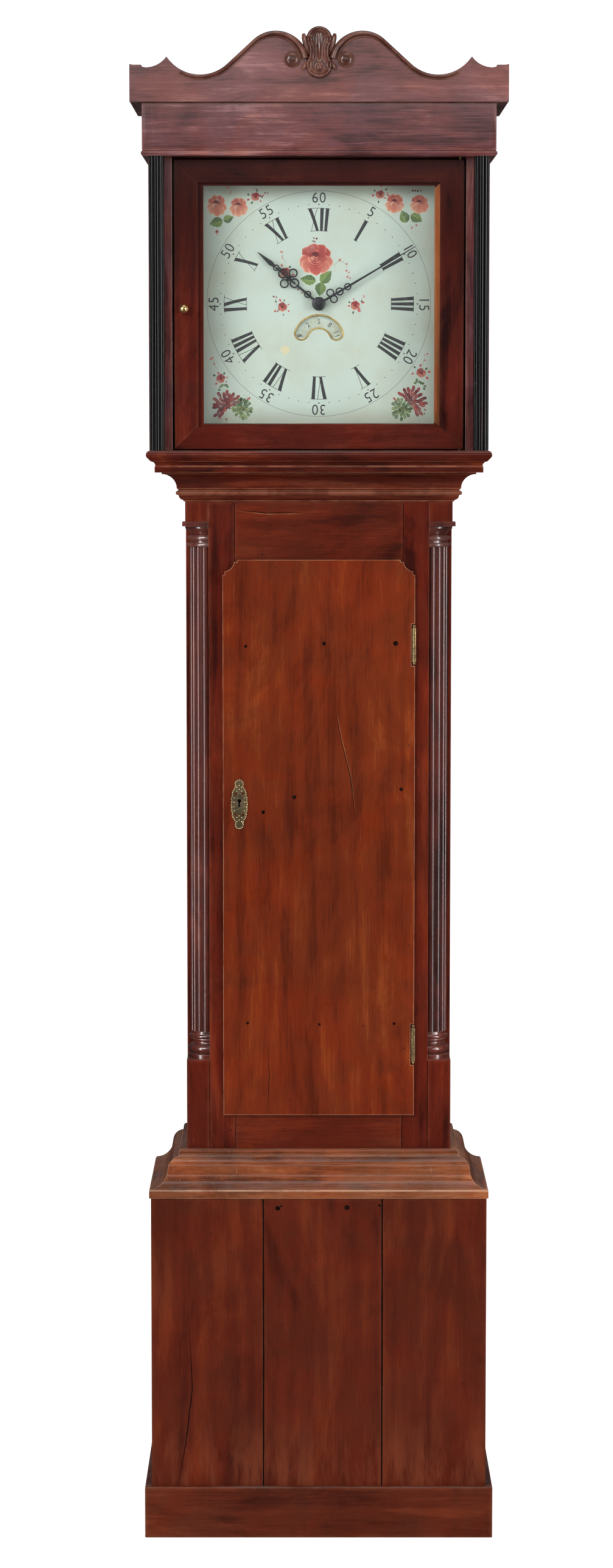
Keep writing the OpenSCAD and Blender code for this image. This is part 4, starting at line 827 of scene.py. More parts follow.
def carvedPiece(name, mesh, axis, nodeName, stands=True):
    # Sharp ridges of the carving are lighter, both as worn wood and as a painted highlight
    wearAndHighlight = mesh.loops.layers.float.new("edgeWearAndHighlight")
    bmesh.ops.recalc_face_normals(mesh, faces=mesh.faces)
    for face in mesh.faces:
        for loop in face.loops:
            edges = [e.calc_face_angle(0) for e in loop.vert.link_edges if len(e.link_faces) == 2]
            loop[wearAndHighlight] = min(1.0, max([abs(a) for a in edges], default=0) / 0.6)
    writeGrain(mesh, name, axis)
    settle(smoothPiece(name, mesh, 50), wood["carvedMahogany"], nodeName, stands)


# Carved work lies on the cresting board: its ground, its depth and the board's foot
def carvingRoom(nodeName):
    low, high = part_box(nodeName)
    return high.y, high.y - low.y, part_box("cresting_board")[0].z


# The rolled moulding on the cresting: it follows the upper edge from the bowls inwards, thin to thick
crest = {"bowl": (90, 54), "hump": (58, 49, 45), "start": 134, "end": 12, "startWidth": 7, "endWidth": 13,
    "boss": (36, 56, 11)}


def scrollStations(halfWidth, side):
    bowlX, (bowlZ, bowlR) = halfWidth - 95, crest["bowl"]
    humpX, humpZ, humpR = crest["hump"]
    edge = arc(-bowlX, bowlZ, bowlR, 242, 314, 26)
    edge += arc(-humpX, humpZ, humpR, crest["start"], crest["end"], 48)[1:]
    inner = arc(-bowlX, bowlZ, bowlR + crest["startWidth"], 242, 314, 26)
    for i in range(1, 49):
        share = i / 48
        width = crest["startWidth"] + (crest["endWidth"] - crest["startWidth"]) * share
        a = math.radians(crest["start"] + (crest["end"] - crest["start"]) * share)
        inner.append((-humpX + (humpR - width) * math.cos(a), humpZ + (humpR - width) * math.sin(a)))
    return [((-x0 * side, z0), (-x1 * side, z1)) for (x0, z0), (x1, z1) in zip(edge, inner)]


def makeScrolls():
    ground, depth, base = carvingRoom("cresting_scrolls")
    boardLow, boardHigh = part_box("cresting_board")
    section = [(0.0, 0.0), (0.02, 0.35), (0.1, 0.68), (0.22, 0.9), (0.36, 1.0), (0.5, 0.92), (0.62, 0.68),
        (0.7, 0.36), (0.74, 0.22), (0.79, 0.24), (0.84, 0.4), (0.92, 0.42), (0.98, 0.3), (1.0, 0.0)]
    profile = [(0, 1.0), (0.25, 0.985), (0.48, 0.92), (0.66, 0.78), (0.78, 0.58), (0.83, 0.4), (0.87, 0.36),
        (0.92, 0.42), (0.97, 0.3), (1.0, 0.0), (0, 0.0)]
    bossX, bossZ, bossR = crest["boss"]
    mesh = bmesh.new()
    for side in (-1, 1):
        stations = scrollStations((boardHigh.x - boardLow.x) / 2 / mm, side)
        rows = []
        for index, (outer, inner) in enumerate(stations):
            swell = depth * (0.35 + 0.65 * min(1.0, index / (len(stations) - 1) * 2.2))
            rows.append([mesh.verts.new(((outer[0] + (inner[0] - outer[0]) * u) * mm, ground - h * swell,
                base + (outer[1] + (inner[1] - outer[1]) * u) * mm)) for u, h in section])
        skin(mesh, rows)
        mesh.faces.new(rows[0])
        mesh.faces.new(rows[-1])
        takeIn(mesh, lathe([(r * bossR * mm, h * depth) for r, h in profile], 40,
            facingFront(side * bossX * mm, ground, base + bossZ * mm)))
    carvedPiece("cresting_scrolls_carved", mesh, 0, "cresting_scrolls")


makeScrolls()


# Cartouche: a waisted shield with a rolled rim and an inner ridge round a hollow with a tongue and a bead
shield = {"top": (82.6, 17.4), "foot": (48.4, 17.8), "waist": 13.6, "bead": (45.5, 4.6)}


def shieldOutline():
    topZ, topR = shield["top"]
    footZ, footR = shield["foot"]
    right = arc(0, footZ, footR, -90, 38, 24)
    left, high = right[-1], arc(0, topZ, topR, -34, 90, 26)[0]
    for i in range(1, 12):
        share = i / 12
        x = left[0] + (high[0] - left[0]) * share
        z = left[1] + (high[1] - left[1]) * share
        right.append((x - (x - shield["waist"]) * math.sin(math.pi * share), z))
    return right + arc(0, topZ, topR, -34, 90, 26)


def rimHeight(distance):
    steps = [(0, 0.0), (0.5, 0.5), (1.4, 0.84), (2.6, 0.98), (3.8, 0.86), (4.7, 0.62), (5.3, 0.58),
        (6.2, 0.8), (7.0, 0.82), (7.8, 0.62), (8.5, 0.26), (9.4, 0.16), (40, 0.16)]
    for (a, low), (b, high) in zip(steps, steps[1:]):
        if distance <= b:
            share = (distance - a) / (b - a)
            return low + (high - low) * share * share * (3 - 2 * share)
    return steps[-1][1]


def makeCartouche():
    ground, depth, base = carvingRoom("cartouche")
    half = shieldOutline()
    closed = half + [(-x, z) for x, z in reversed(half[:-1])]
    beadZ, beadR = shield["bead"]
    mesh = bmesh.new()
    rows = []
    across = 44
    for width, z in half:
        row = []
        for k in range(across + 1):
            x = math.sin((k / across - 0.5) * math.pi) * width
            distance = 99.0
            for (x0, z0), (x1, z1) in zip(closed, closed[1:]):
                ex, ez = x1 - x0, z1 - z0
                share = max(0.0, min(1.0, ((x - x0) * ex + (z - z0) * ez) / (ex * ex + ez * ez + 1e-9)))
                distance = min(distance, math.hypot(x - x0 - ex * share, z - z0 - ez * share))
            hollow = max(0.0, min(1.0, (distance - 7.6) / 1.2))
            tongue = math.exp(-(x / (1.2 + 0.05 * max(0, z - 50))) ** 2) * min(1, max(0, (z - 51) / 6)) * 0.42
            bead = math.sqrt(max(0.0, 1 - (x * x + (z - beadZ) ** 2) / beadR ** 2)) * 0.7
            h = max(rimHeight(distance) + tongue * hollow, bead * min(1, hollow * 2))
            row.append(mesh.verts.new((x * mm, ground - h * depth * 0.99, base + z * mm)))
        rows.append(row)
    skin(mesh, rows, closed=False)
    back = [row[0] for row in rows] + [row[-1] for row in reversed(rows)]
    bmesh.ops.remove_doubles(mesh, verts=mesh.verts, dist=1e-6)
    mesh.faces.new([v for v in dict.fromkeys(back) if v.is_valid])
    bmesh.ops.triangulate(mesh, faces=[f for f in mesh.faces if len(f.verts) > 4])
    bmesh.ops.dissolve_degenerate(mesh, edges=mesh.edges, dist=1e-6)
    carvedPiece("cartouche_carved", mesh, 2, "cartouche")


# Two leaves each side of the shield: a fat rounded rib that swells from its root and has a groove
def makeCartoucheLeaves():
    leaves = [[(-13.2, 62, 1.0, 0.3), (-15.4, 69, 3.0, 0.6), (-18.0, 77, 4.0, 0.8), (-20.0, 85, 3.6, 0.85),
        (-21.2, 90, 2.0, 0.6)], [(-14.0, 55, 1.6, 0.4), (-17.5, 49.5, 3.2, 0.7), (-21, 45, 3.2, 0.8),
        (-23, 42.2, 1.8, 0.5)]]
    ground, depth, base = carvingRoom("cartouche")
    section = [(-1, 0.0), (-0.92, 0.45), (-0.6, 0.82), (-0.2, 1.0), (0.15, 0.9), (0.42, 0.7), (0.62, 0.78),
        (0.86, 0.5), (1, 0.0)]
    mesh = bmesh.new()
    for side in (-1, 1):
        for spine in leaves:
            smooth = [[a + (b - a) * i / 5 for a, b in zip(first, second)]
                for first, second in zip(spine, spine[1:]) for i in range(5)] + [spine[-1]]
            rows = []
            for (x, z, wide, h), (dx, dz) in zip(smooth, headings(smooth)):
                rows.append([mesh.verts.new((-side * (x - dz * wide * u) * mm, ground - h * up * depth * 0.9,
                    base + (z + dx * wide * u) * mm)) for u, up in section])
            skin(mesh, rows)
            mesh.faces.new(rows[0])
            mesh.faces.new(rows[-1])
    carvedPiece("cartouche_leaves", mesh, 2, "cartouche", False)


makeCartouche()
makeCartoucheLeaves()
print("cresting carved")


# The dial's painting: flat shapes just over the dial, each with its own colour in an attribute
paintCoat = 0.006 * mm  # how much higher each layer of paint lies


class PaintSheet:
    def __init__(self, centre, lift):
        self.centre, self.lift = centre, lift
        self.verts, self.faces, self.colours = [], [], []

    def point(self, x, z, layer, colour):
        self.verts.append((self.centre[0] + x * mm, self.centre[1] - self.lift - layer * paintCoat,
            self.centre[2] + z * mm))
        self.colours.append(rgb(*colour))
        return len(self.verts) - 1

    def fan(self, outline, layer, colour, middle=None, heart=None):
        heart = heart or [sum(p[k] for p in outline) / len(outline) for k in (0, 1)]
        centre = self.point(heart[0], heart[1], layer, middle or colour)
        ring = [self.point(x, z, layer, colour) for x, z in outline]
        self.faces += [(centre, first, second) for first, second in zip(ring, ring[1:] + ring[:1])]

    def strip(self, left, right, layer, colour):
        first, second = ([self.point(x, z, layer, colour) for x, z in side] for side in (left, right))
        self.faces += list(zip(first, first[1:], second[1:], second))

    def stroke(self, points, width, layer, colour):
        left, right = [], []
        for i, ((x, z), (dx, dz)) in enumerate(zip(points, headings(points))):
            share = i / (len(points) - 1)
            half = width / 2 * (0.25 + 0.75 * math.sin(math.pi * min(1, share * 1.3 + 0.12)))
            left.append((x - dz * half, z + dx * half))
            right.append((x + dz * half, z - dx * half))
        self.strip(left, right, layer, colour)

    def piece(self, name, material, nodeName):
        data = bpy.data.meshes.new(name)
        data.from_pydata(self.verts, [], self.faces)
        tint = data.attributes.new("paint", "FLOAT_COLOR", "POINT")
        for item, colour in zip(tint.data, self.colours):
            item.color = colour
        for face in data.polygons:
            if face.normal.y > 0:
                face.flip()
        data.update()
        settle(linked(name, data), material, nodeName, False)


# A point given along and across a line that starts at x, z and points to an angle
def turnedPoint(x, z, angle, along, across):
    c, s = math.cos(angle), math.sin(angle)
    return (x + along * c - across * s, z + along * s + across * c)


def circle(x, z, radius, count=14, stretch=1.0, turn=0.0):
    turns = [2 * math.pi * i / count for i in range(count)]
    return [turnedPoint(x, z, turn, math.cos(a) * radius * stretch, math.sin(a) * radius) for a in turns]


def blendColour(first, second, share):
    return tuple(a + (b - a) * share for a, b in zip(first, second))


tone = {"deep": (104, 26, 34), "red": (152, 46, 48), "rose": (196, 90, 80), "salmon": (226, 152, 128),
    "pale": (238, 200, 180), "blush": (214, 132, 108), "sand": (226, 178, 146), "leaf": (112, 136, 72),
    "leafDark": (66, 92, 54), "leafLight": (158, 174, 108), "stem": (96, 104, 66), "berry": (202, 84, 84),
    "ink": (32, 32, 36)}


# A full rose: broad pale petals below, a darker cup above them, and a brush line along each lip
def paintRose(sheet, x, z, width, height, seed, tones):
    dice = random.Random(seed)
    deep, red, mid, pale = [tone[name] for name in tones]
    layer = 4

    def ring(turns, reach, lift, long, wide, dark, lights, lip):
        nonlocal layer
        for turn in turns:
            a = math.radians(turn + dice.uniform(-6, 6))
            light = blendColour(lights[0], lights[1], dice.uniform(0.1, 0.9))
            px, pz = x + math.cos(a) * width * reach, z + height * lift + math.sin(a) * height * reach
            phase = dice.uniform(0, 6)
            points = []
            for i in range(26):
                b = 2 * math.pi * i / 26
                r = 1 + 0.05 * math.cos(3 * b + phase) + 0.025 * math.cos(7 * b + phase)
                points.append(turnedPoint(px, pz, a, math.cos(b) * r * (width * long),
                    math.sin(b) * r * (width * wide)))
            sheet.fan(points, layer, light, dark, turnedPoint(px, pz, a, -width * long * 0.7, 0))
            sheet.stroke(points[-6:] + points[:6], width * 0.026, layer + 1, lip)
            layer += 2
    shine = blendColour(pale, (250, 232, 216), 0.4)
    ring((35, 145, 70, 110), 0.25, 0.10, 0.20, 0.18, deep, (red, mid), blendColour(mid, pale, 0.5))
    ring((188, 352, 222, 318, 270), 0.27, -0.02, 0.21, 0.2, red, (mid, pale), shine)
    heart = (x - width * 0.02, z + height * 0.22)
    sheet.fan(circle(x, z + height * 0.07, height * 0.29, 26, width / height), layer,
        blendColour(red, mid, 0.55), deep, heart)
    layer += 1
    for k in range(5):
        reach = width * (0.255 - 0.042 * k)
        left = arc(x, z + height * (0.07 + 0.03 * k), reach, 168 + 8 * k, 262 + 4 * k, 10)
        right = arc(x, z + height * (0.07 + 0.03 * k), reach, 278 - 6 * k, 372 - 10 * k, 10)
        tint = blendColour(mid, pale, 0.35 + 0.12 * k)
        sheet.stroke(left, width * 0.05, layer + k, blendColour(tint, shine, 0.5 if k % 2 else 0.0))
        sheet.stroke(right, width * 0.045, layer + k, blendColour(tint, red, 0.35 if k % 2 else 0.1))
    sheet.fan(circle(*heart, height * 0.075, 16, 1.7), layer + 6, deep, blendColour(deep, (60, 10, 16), 0.6))
    sheet.stroke(arc(heart[0], heart[1] + height * 0.01, width * 0.11, 30, 150, 10), width * 0.03, layer + 7,
        blendColour(mid, pale, 0.5))


def paintLeaf(sheet, x, z, length, width, turn, seed):
    dice = random.Random(seed)

    def at(along, across):
        return turnedPoint(x, z, math.radians(turn), along - length / 2, across)

    def half(share):
        return width / 2 * math.sin(math.pi * share ** 0.75)
    spine = [at(length * i / 12, 0.6 * math.sin(i / 12 * 3)) for i in range(13)]
    for side, colour in ((1, "leaf"), (-1, "leafDark")):
        rim = [at(length * i / 12, side * half(i / 12) * (1 + 0.07 * math.sin(i / 12 * 26 + seed)))
            for i in range(13)]
        sheet.strip(spine, rim, 1, blendColour(tone[colour], tone["leafLight"], dice.uniform(0.0, 0.3)))
    sheet.stroke(spine, 0.7, 2, tone["leafLight"])
    for i in range(2, 11, 2):
        for side in (1, -1):
            root, tip = at(length * i / 12, 0), at(length * (i / 12 + 0.12), side * half(i / 12) * 0.8)
            sheet.stroke([root, ((root[0] + tip[0]) / 2, (root[1] + tip[1]) / 2), tip], 0.4, 2,
                blendColour(tone["leafLight"], tone["leaf"], 0.4))


def paintSprig(sheet, points, seed, colour):
    dice = random.Random(seed)
    sheet.stroke(points, 0.45, 0, tone["stem"])
    for x, z in points[1:]:
        for k in range(2):
            side, up = dice.uniform(-2.6, 2.6), dice.uniform(-1.6, 2.2)
            tint = blendColour(tone[colour], tone["pale"], dice.uniform(0, 0.35))
            sheet.fan(circle(x + side, z + up, dice.uniform(0.8, 1.5), 8), 1, tint)


def paintBud(sheet, x, z, radius, seed):
    dice = random.Random(seed)
    for k in range(7):
        a = 2 * math.pi * k / 7 + dice.uniform(-0.4, 0.4)
        reach = radius * dice.uniform(1.35, 1.9)
        sheet.fan(circle(x + math.cos(a) * reach, z + math.sin(a) * reach, radius * dice.uniform(0.14, 0.24),
            8, 1.5, a), 0, tone["leafDark"] if k % 2 else tone["berry"])
    for k in range(6):
        a = 2 * math.pi * k / 6 + dice.uniform(0, 0.6)
        tint = blendColour(tone["red"], tone["salmon"], 0.45 - 0.45 * math.sin(a))
        sheet.fan(circle(x + math.cos(a) * radius * 0.5, z + math.sin(a) * radius * 0.5, radius * 0.55, 14),
            2 + k, tint, blendColour(tint, tone["deep"], 0.5))
    sheet.fan(circle(x, z + radius * 0.1, radius * 0.42, 14), 9, tone["deep"], tone["red"])


# A tuft of short ruffled petals or narrow leaves round one point, row over row
def paintTuft(sheet, x, z, reach, turn, spread, rows, dark, light, width, seed):
    dice = random.Random(seed)
    long = reach * 0.42
    for row in range(rows):
        share = 1 - row / rows
        count = max(3, round(spread / 22 * share) + 1)
        for k in range(count):
            a = math.radians(turn - spread / 2 + spread * k / (count - 1) + dice.uniform(-7, 7))
            tip = reach * share * dice.uniform(0.85, 1.05)
            mx, mz = x + math.cos(a) * (tip - long / 2), z + math.sin(a) * (tip - long / 2)
            tint = blendColour(tone[dark], tone[light], dice.uniform(-0.2, 0.9))
            points = []
            for i in range(12):
                b = 2 * math.pi * i / 12
                points.append(turnedPoint(mx, mz, a, math.cos(b) * long / 2,
                    math.sin(b) * width / 2 * (1 + 0.35 * math.cos(b))))
            inner, outer = ((mx + math.cos(a) * long * far, mz + math.sin(a) * long * far)
                for far in (-0.4, 0.45))
            sheet.fan(points, 2 + row * 2, tint, blendColour(tint, tone[dark], 0.8), inner)
            sheet.stroke([inner, (mx, mz), outer], width * 0.2, 3 + row * 2,
                blendColour(tint, (246, 226, 204), dice.uniform(0.15, 0.7)))


# Where the flowers stand, in mm from the middle of the dial, with sizes, turns and seeds
big, soft = ("deep", "red", "rose", "salmon"), ("deep", "rose", "blush", "sand")
flowers = {
    "roses": [(-4, 60, 48, 36, 3, big), (-140, 133, 28, 27, 5, soft), (-110, 131, 26, 24, 6, soft),
        (104, 136, 27, 23, 7, soft), (138, 135, 27, 23, 8, soft)],
    "leaves": [(-15, 33, 22, 14, 172, 11), (10, 37, 22, 15, 48, 12), (2, 20, 19, 15, 262, 13),
        (-141, 111, 19, 14, 196, 14), (-124, 116, 15, 11, 20, 15), (117, 119, 18, 14, 112, 16),
        (134, 117, 18, 14, 330, 17)],
    "buds": [(-46, 43, 6.6, 21), (-50, -4, 6.2, 22), (50, -2, 6.2, 23), (-87, 146, 5.8, 24),
        (84, 149, 5.8, 25), (-135, -102, 6.0, 26), (141, -94, 6.4, 27), (-140, 98, 2.2, 28)],
    "sprigs": [[(-6, 78), (-8, 84), (-5, 89)], [(20, 52), (29, 60), (37, 54), (40, 44), (41, 36)],
        [(-45, 56), (-51, 64), (-50, 72)], [(-20, 6), (-21, 14), (-26, 20)],
        [(-126, 146), (-120, 152), (-124, 158)], [(124, 108), (129, 104), (135, 106)],
        [(120, 150), (130, 154), (138, 155)], [(-140, -90), (-144, -82), (-146, -74)],
        [(143, -84), (145, -76), (147, -70)], [(-101, 147), (-78, 147), (-72, 150)],
        [(68, 150), (94, 149), (99, 146)], [(-132, -154), (-126, -158), (-138, -157)],
        [(138, -138), (144, -144), (143, -150)], [(100, -138), (104, -132), (102, -128)],
        [(-104, -124), (-98, -128), (-96, -132)], [(-58, 2), (-60, 8), (-56, -10)],
        [(58, 4), (60, 9), (57, -8)]],
    "tufts": [(-126, -140, 23, 128, 210, 5, "deep", "rose", 4.2, 61),
        (-106, -143, 16, 60, 330, 3, "leafDark", "leafLight", 4.0, 62),
        (-130, -118, 9, 110, 120, 1, "leafDark", "leaf", 3.0, 63),
        (127, -134, 23, 42, 210, 5, "deep", "rose", 4.2, 64),
        (114, -144, 16, 100, 330, 3, "leafDark", "leafLight", 4.0, 65),
        (138, -114, 10, 60, 140, 1, "leafDark", "leaf", 3.0, 66)],
}


def makeFlowers():
    sheet = PaintSheet(dialCentre, 0.03 * mm)
    for kind, paint in (("roses", paintRose), ("leaves", paintLeaf), ("buds", paintBud)):
        for values in flowers[kind]:
            paint(sheet, *values)
    for seed, points in enumerate(flowers["sprigs"]):
        paintSprig(sheet, points, seed + 40, "berry" if seed % 3 else "deep")
    for values in flowers["tufts"]:
        paintTuft(sheet, *values)
    sheet.piece("dial_flowers", brushedPaint, "dial_plate")


# Hour numerals: thick and thin strokes drawn on arcs, feet towards the centre
def paintNumerals(sheet):
    settings = {"foot": 99.6, "head": 130.4, "thick": 4.3, "thin": 0.7, "serif": 0.65, "mid": 115}
    widths = {"I": 6.7, "V": 14.0, "X": 14.5}
    foot, head, thick, thin = settings["foot"], settings["head"], settings["thick"], settings["thin"]

    def bend(x, up):
        a = turn - x / settings["mid"]
        return (math.cos(a) * up, math.sin(a) * up)

    def bar(x0, x1, width):
        sheet.strip(*([bend(x0 + (x1 - x0) * i / 6 + side * width / 2, foot + (head - foot) * i / 6)
            for i in range(7)] for side in (-1, 1)), 0, tone["ink"])

    def serif(x0, x1, up):
        sheet.strip(*([bend(x0 + (x1 - x0) * i / 8, up + side * settings["serif"] / 2) for i in range(9)]
            for side in (-1, 1)), 1, tone["ink"])
    for hour, letters in enumerate("I II III IIII V VI VII VIII IX X XI XII".split(), 1):
        turn = math.pi / 2 - hour * math.pi / 6
        total = sum(widths[letter] for letter in letters)
        x = -total / 2
        for letter in letters:
            w = widths[letter]
            mid = x + w / 2
            if letter == "I":
                bar(mid, mid, thick)
            elif letter == "V":
                bar(mid + 0.6, x + 2.8, thick)
                bar(mid + 0.9, x + w - 2.0, thin)
            else:
                bar(x + w - 2.9, x + 2.9, thick)
                bar(x + 2.2, x + w - 2.2, thin)
            x += w
        serif(-total / 2 - 0.2, total / 2 + 0.2, head)
        serif(-total / 2 - 0.2, total / 2 + 0.2, foot)


def writtenNumber(text, height, thin):
    curve = bpy.data.curves.new("number", "FONT")
    curve.body, curve.size, curve.offset = text, height * 1.37, thin
    curve.align_x, curve.align_y, curve.resolution_u = "CENTER", "CENTER", 6
    curve.space_character = 1.12
    holder = linked("number", curve)
    mesh = bpy.data.meshes.new_from_object(holder)
    points = [(v.co.x, v.co.y) for v in mesh.vertices]
    faces = [tuple(f.vertices) for f in mesh.polygons]
    bpy.data.objects.remove(holder)
    bpy.data.curves.remove(curve)
    bpy.data.meshes.remove(mesh)
    middle = (min(p[1] for p in points) + max(p[1] for p in points)) / 2
    return [(x, y - middle) for x, y in points], faces


def addNumber(sheet, text, height, thin, radius, clockwise, colour, narrow):
    points, faces = writtenNumber(text, height, thin)
    start = len(sheet.verts)
    for x, y in points:
        sheet.point(*turnedPoint(0, 0, -math.radians(clockwise), x * narrow, y + radius), 0, colour)
    sheet.faces += [tuple(start + k for k in face) for face in faces]


def makeLettering():
    settings = {"circle": 153.9, "line": 0.55, "figures": 144.8, "height": 14.8, "thin": -0.02}
    sheet = PaintSheet(dialCentre, 0.02 * mm)
    paintNumerals(sheet)
    radius, half = settings["circle"], settings["line"] / 2
    for start in range(0, 360, 30):
        sheet.strip(arc(0, 0, radius - half, start, start + 30, 20),
            arc(0, 0, radius + half, start, start + 30, 20), 0, (120, 124, 120))
    for step in range(1, 13):
        addNumber(sheet, str(step * 5), settings["height"], settings["thin"], settings["figures"], step * 30,
            (44, 44, 48), 0.92)
    sheet.piece("dial_lettering", letterPaint, "dial_plate")


# Minute dots, as instances of one round blot on the vertices of a circle
def makeMinuteDots():
    settings = {"track": 135.6 * mm, "dot": 0.72 * mm, "dots": 60, "larger": 1.45, "lift": 0.02 * mm}
    tree, given, out = newShapeTree("minuteDots", {"Track Radius": 0.14, "Dot Radius": 0.001, "Dots": 60,
        "Ink": (0.01, 0.01, 0.012, 1)})
    track = shape("MeshCircle", {"Vertices": given["Dots"], "Radius": given["Track Radius"]})
    dot = shape("MeshCircle", {"Vertices": 10, "Radius": given["Dot Radius"]}, fill_type="NGON")
    fifth = node("Compare", {0: calc("MODULO", shape("InputIndex", {}), 5.0), 1: 0.5}, "FunctionNode",
        data_type="FLOAT", operation="LESS_THAN")
    size = between(fifth, 0.0, 1.0, 1.0, settings["larger"], "LINEAR")
    uneven = node("RandomValue", {"Min": (0.85, 0.85, 0.85), "Max": (1.1, 1.1, 1.1), "Seed": 4},
        "FunctionNode", data_type="FLOAT_VECTOR")
    dots = shape("InstanceOnPoints", {"Points": track, "Instance": dot,
        "Scale": vectorMath("SCALE", uneven, {"Scale": size})})
    inked = shape("StoreNamedAttribute", {"Geometry": shape("RealizeInstances", {"Geometry": dots}),
        "Name": "paint", "Value": given["Ink"]}, data_type="FLOAT_COLOR", domain="POINT")
    endShapeTree(inked, given, out)
    dots = grownPiece("minute_dots", tree, {"Track Radius": settings["track"], "Dot Radius": settings["dot"],
        "Dots": settings["dots"], "Ink": rgb(52, 52, 54), "Material": letterPaint},
        move=facingFront(dialCentre[0], dialCentre[1] - settings["lift"], dialCentre[2]))
    settle(dots, None, "dial_plate", False)


makeFlowers()
makeLettering()
makeMinuteDots()
print("dial painted")


# Gilt rim round the curved date aperture, with round ends, and the figures on the date ring behind it
dateWindow = {"centre": -50, "radius": 26, "half": 8.0, "rim": 2.3, "start": 22.6}


def capsule(reach):
    z0, radius, a0 = dateWindow["centre"], dateWindow["radius"], dateWindow["start"]
    points = []
    for start, end, side in ((a0, 180 - a0, 1), (180 - a0, a0, -1)):
        points += arc(0, z0, radius + side * reach, start, end, 40)
        x, z = arc(0, z0, radius, end, end, 1)[0]
        points += arc(x, z, reach, end + 90 * (1 - side), end + 180 + 90 * (1 - side), 14)[1:-1]
    return points


def makeDateRim():
    mesh = bmesh.new()
    cx, cy, cz = dialCentre
    rows = []
    section = [(0.0, -1.6), (0.0, 0.35), (0.18, 0.75), (0.45, 1.0), (0.8, 0.7), (1.0, 0.2), (1.0, 0.0)]
    for share, up in section:
        ring = capsule(dateWindow["half"] + dateWindow["rim"] * share)
        rows.append([mesh.verts.new((cx + x * mm, cy - up * mm, cz + z * mm)) for x, z in ring])
    skin(mesh, rows + rows[:1])
    bmesh.ops.recalc_face_normals(mesh, faces=mesh.faces)
    settle(smoothPiece("date_rim", mesh, 60), metal["gilt"], "dial_plate", False)


def makeDateFigures():
    settings = {"days": 31, "shown": 5, "height": 7.2, "figures": 26.4, "dots": 26.5, "dot": 0.5}
    days, shown, reach = settings["days"], settings["shown"], settings["dots"]
    sheet = PaintSheet((dialCentre[0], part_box("date_ring")[0].y, dialCentre[2] + dateWindow["centre"] * mm),
        0.03 * mm)
    for day in range(1, days + 1):
        turn = (day - shown) * 360 / days
        if (day - shown) % 3 == 0 and day < days:
            addNumber(sheet, str(day), settings["height"], 0.0, settings["figures"], turn, (46, 46, 50), 0.95)
        else:
            a = math.radians(90 - turn)
            sheet.fan(circle(reach * math.cos(a), reach * math.sin(a), settings["dot"], 8), 0,
                (120, 120, 116))
    sheet.piece("date_figures", letterPaint, "date_ring")


makeDateRim()
makeDateFigures()
print("date aperture dressed")


# Three-strand rope along a line, twisted by its own length; the strands are kept in an attribute
def makeRopeTree():
    tree, given, out = newShapeTree("twistedRope", {"Radius": 0.003, "Pitch": 0.03, "Sides": 14})
    turn = shape("SplineParameter", {})["Length"] / given["Pitch"] * (2 * math.pi)
    line = shape("SetCurveTilt", {"Curve": given["Geometry"], "Tilt": turn})
    section = shape("CurvePrimitiveCircle", {"Resolution": given["Sides"], "Radius": given["Radius"]})
    place = shape("InputPosition", {})
    wave = lobeWave(place, 1.5)
    section = pressed(section, place, between(wave, 0.0, 1.0, 0.72, 1.0, "LINEAR"))
    section = shape("StoreNamedAttribute", {"Geometry": section, "Name": "strandValley",
        "Value": between(wave, 0.0, 1.0, 1.0, 0.0, "LINEAR")}, data_type="FLOAT", domain="POINT")
    body = shape("CurveToMesh", {"Curve": line, "Profile Curve": section, "Fill Caps": True})
    endShapeTree(body, given, out)
    return tree


ropeTree = makeRopeTree()
ropeSizes = {"radius": 2.45 * mm, "step": 2.4 * mm, "pitch": 0.018, "sides": 12, "pulley": 20 * mm,
    "spread": 42 * mm, "ringRun": 12 * mm, "cord": 2.5 * mm, "seat": 0.3 * mm}


def ropeRun(name, points):
    lengths = [math.dist(a, b) for a, b in zip(points, points[1:])]
    total = sum(lengths)
    count = max(2, round(total / ropeSizes["step"]))
    curve = bpy.data.curves.new(name + "Line", "CURVE")
    curve.dimensions = "3D"
    upright = any(abs(a[0] - b[0]) <= 1e-4 for a, b in zip(points, points[1:]))
    curve.twist_mode = "MINIMUM" if upright else "Z_UP"
    spline = curve.splines.new("POLY")
    spline.points.add(count)
    for i in range(count + 1):
        reach = total * i / count
        k = 0
        while k < len(lengths) - 1 and reach > lengths[k]:
            reach -= lengths[k]
            k += 1
        place = Vector(points[k]).lerp(Vector(points[k + 1]), min(1.0, reach / lengths[k]))
        spline.points[i].co = (*place, 1)
    return grownPiece(name, ropeTree, {"Radius": ropeSizes["radius"], "Pitch": ropeSizes["pitch"],
        "Sides": ropeSizes["sides"], "Material": hempRope}, carrier=linked(name + "Line", curve))


def joinedRope(name, paths):
    mesh = bmesh.new()
    for index, path in enumerate(paths):
        run = ropeRun(name + str(index), path)
        mesh.from_mesh(run.data)
        bpy.data.objects.remove(run)
    data = meshData(name, mesh)
    data.materials.append(hempRope)
    data.shade_smooth()
    return linked(name, data)


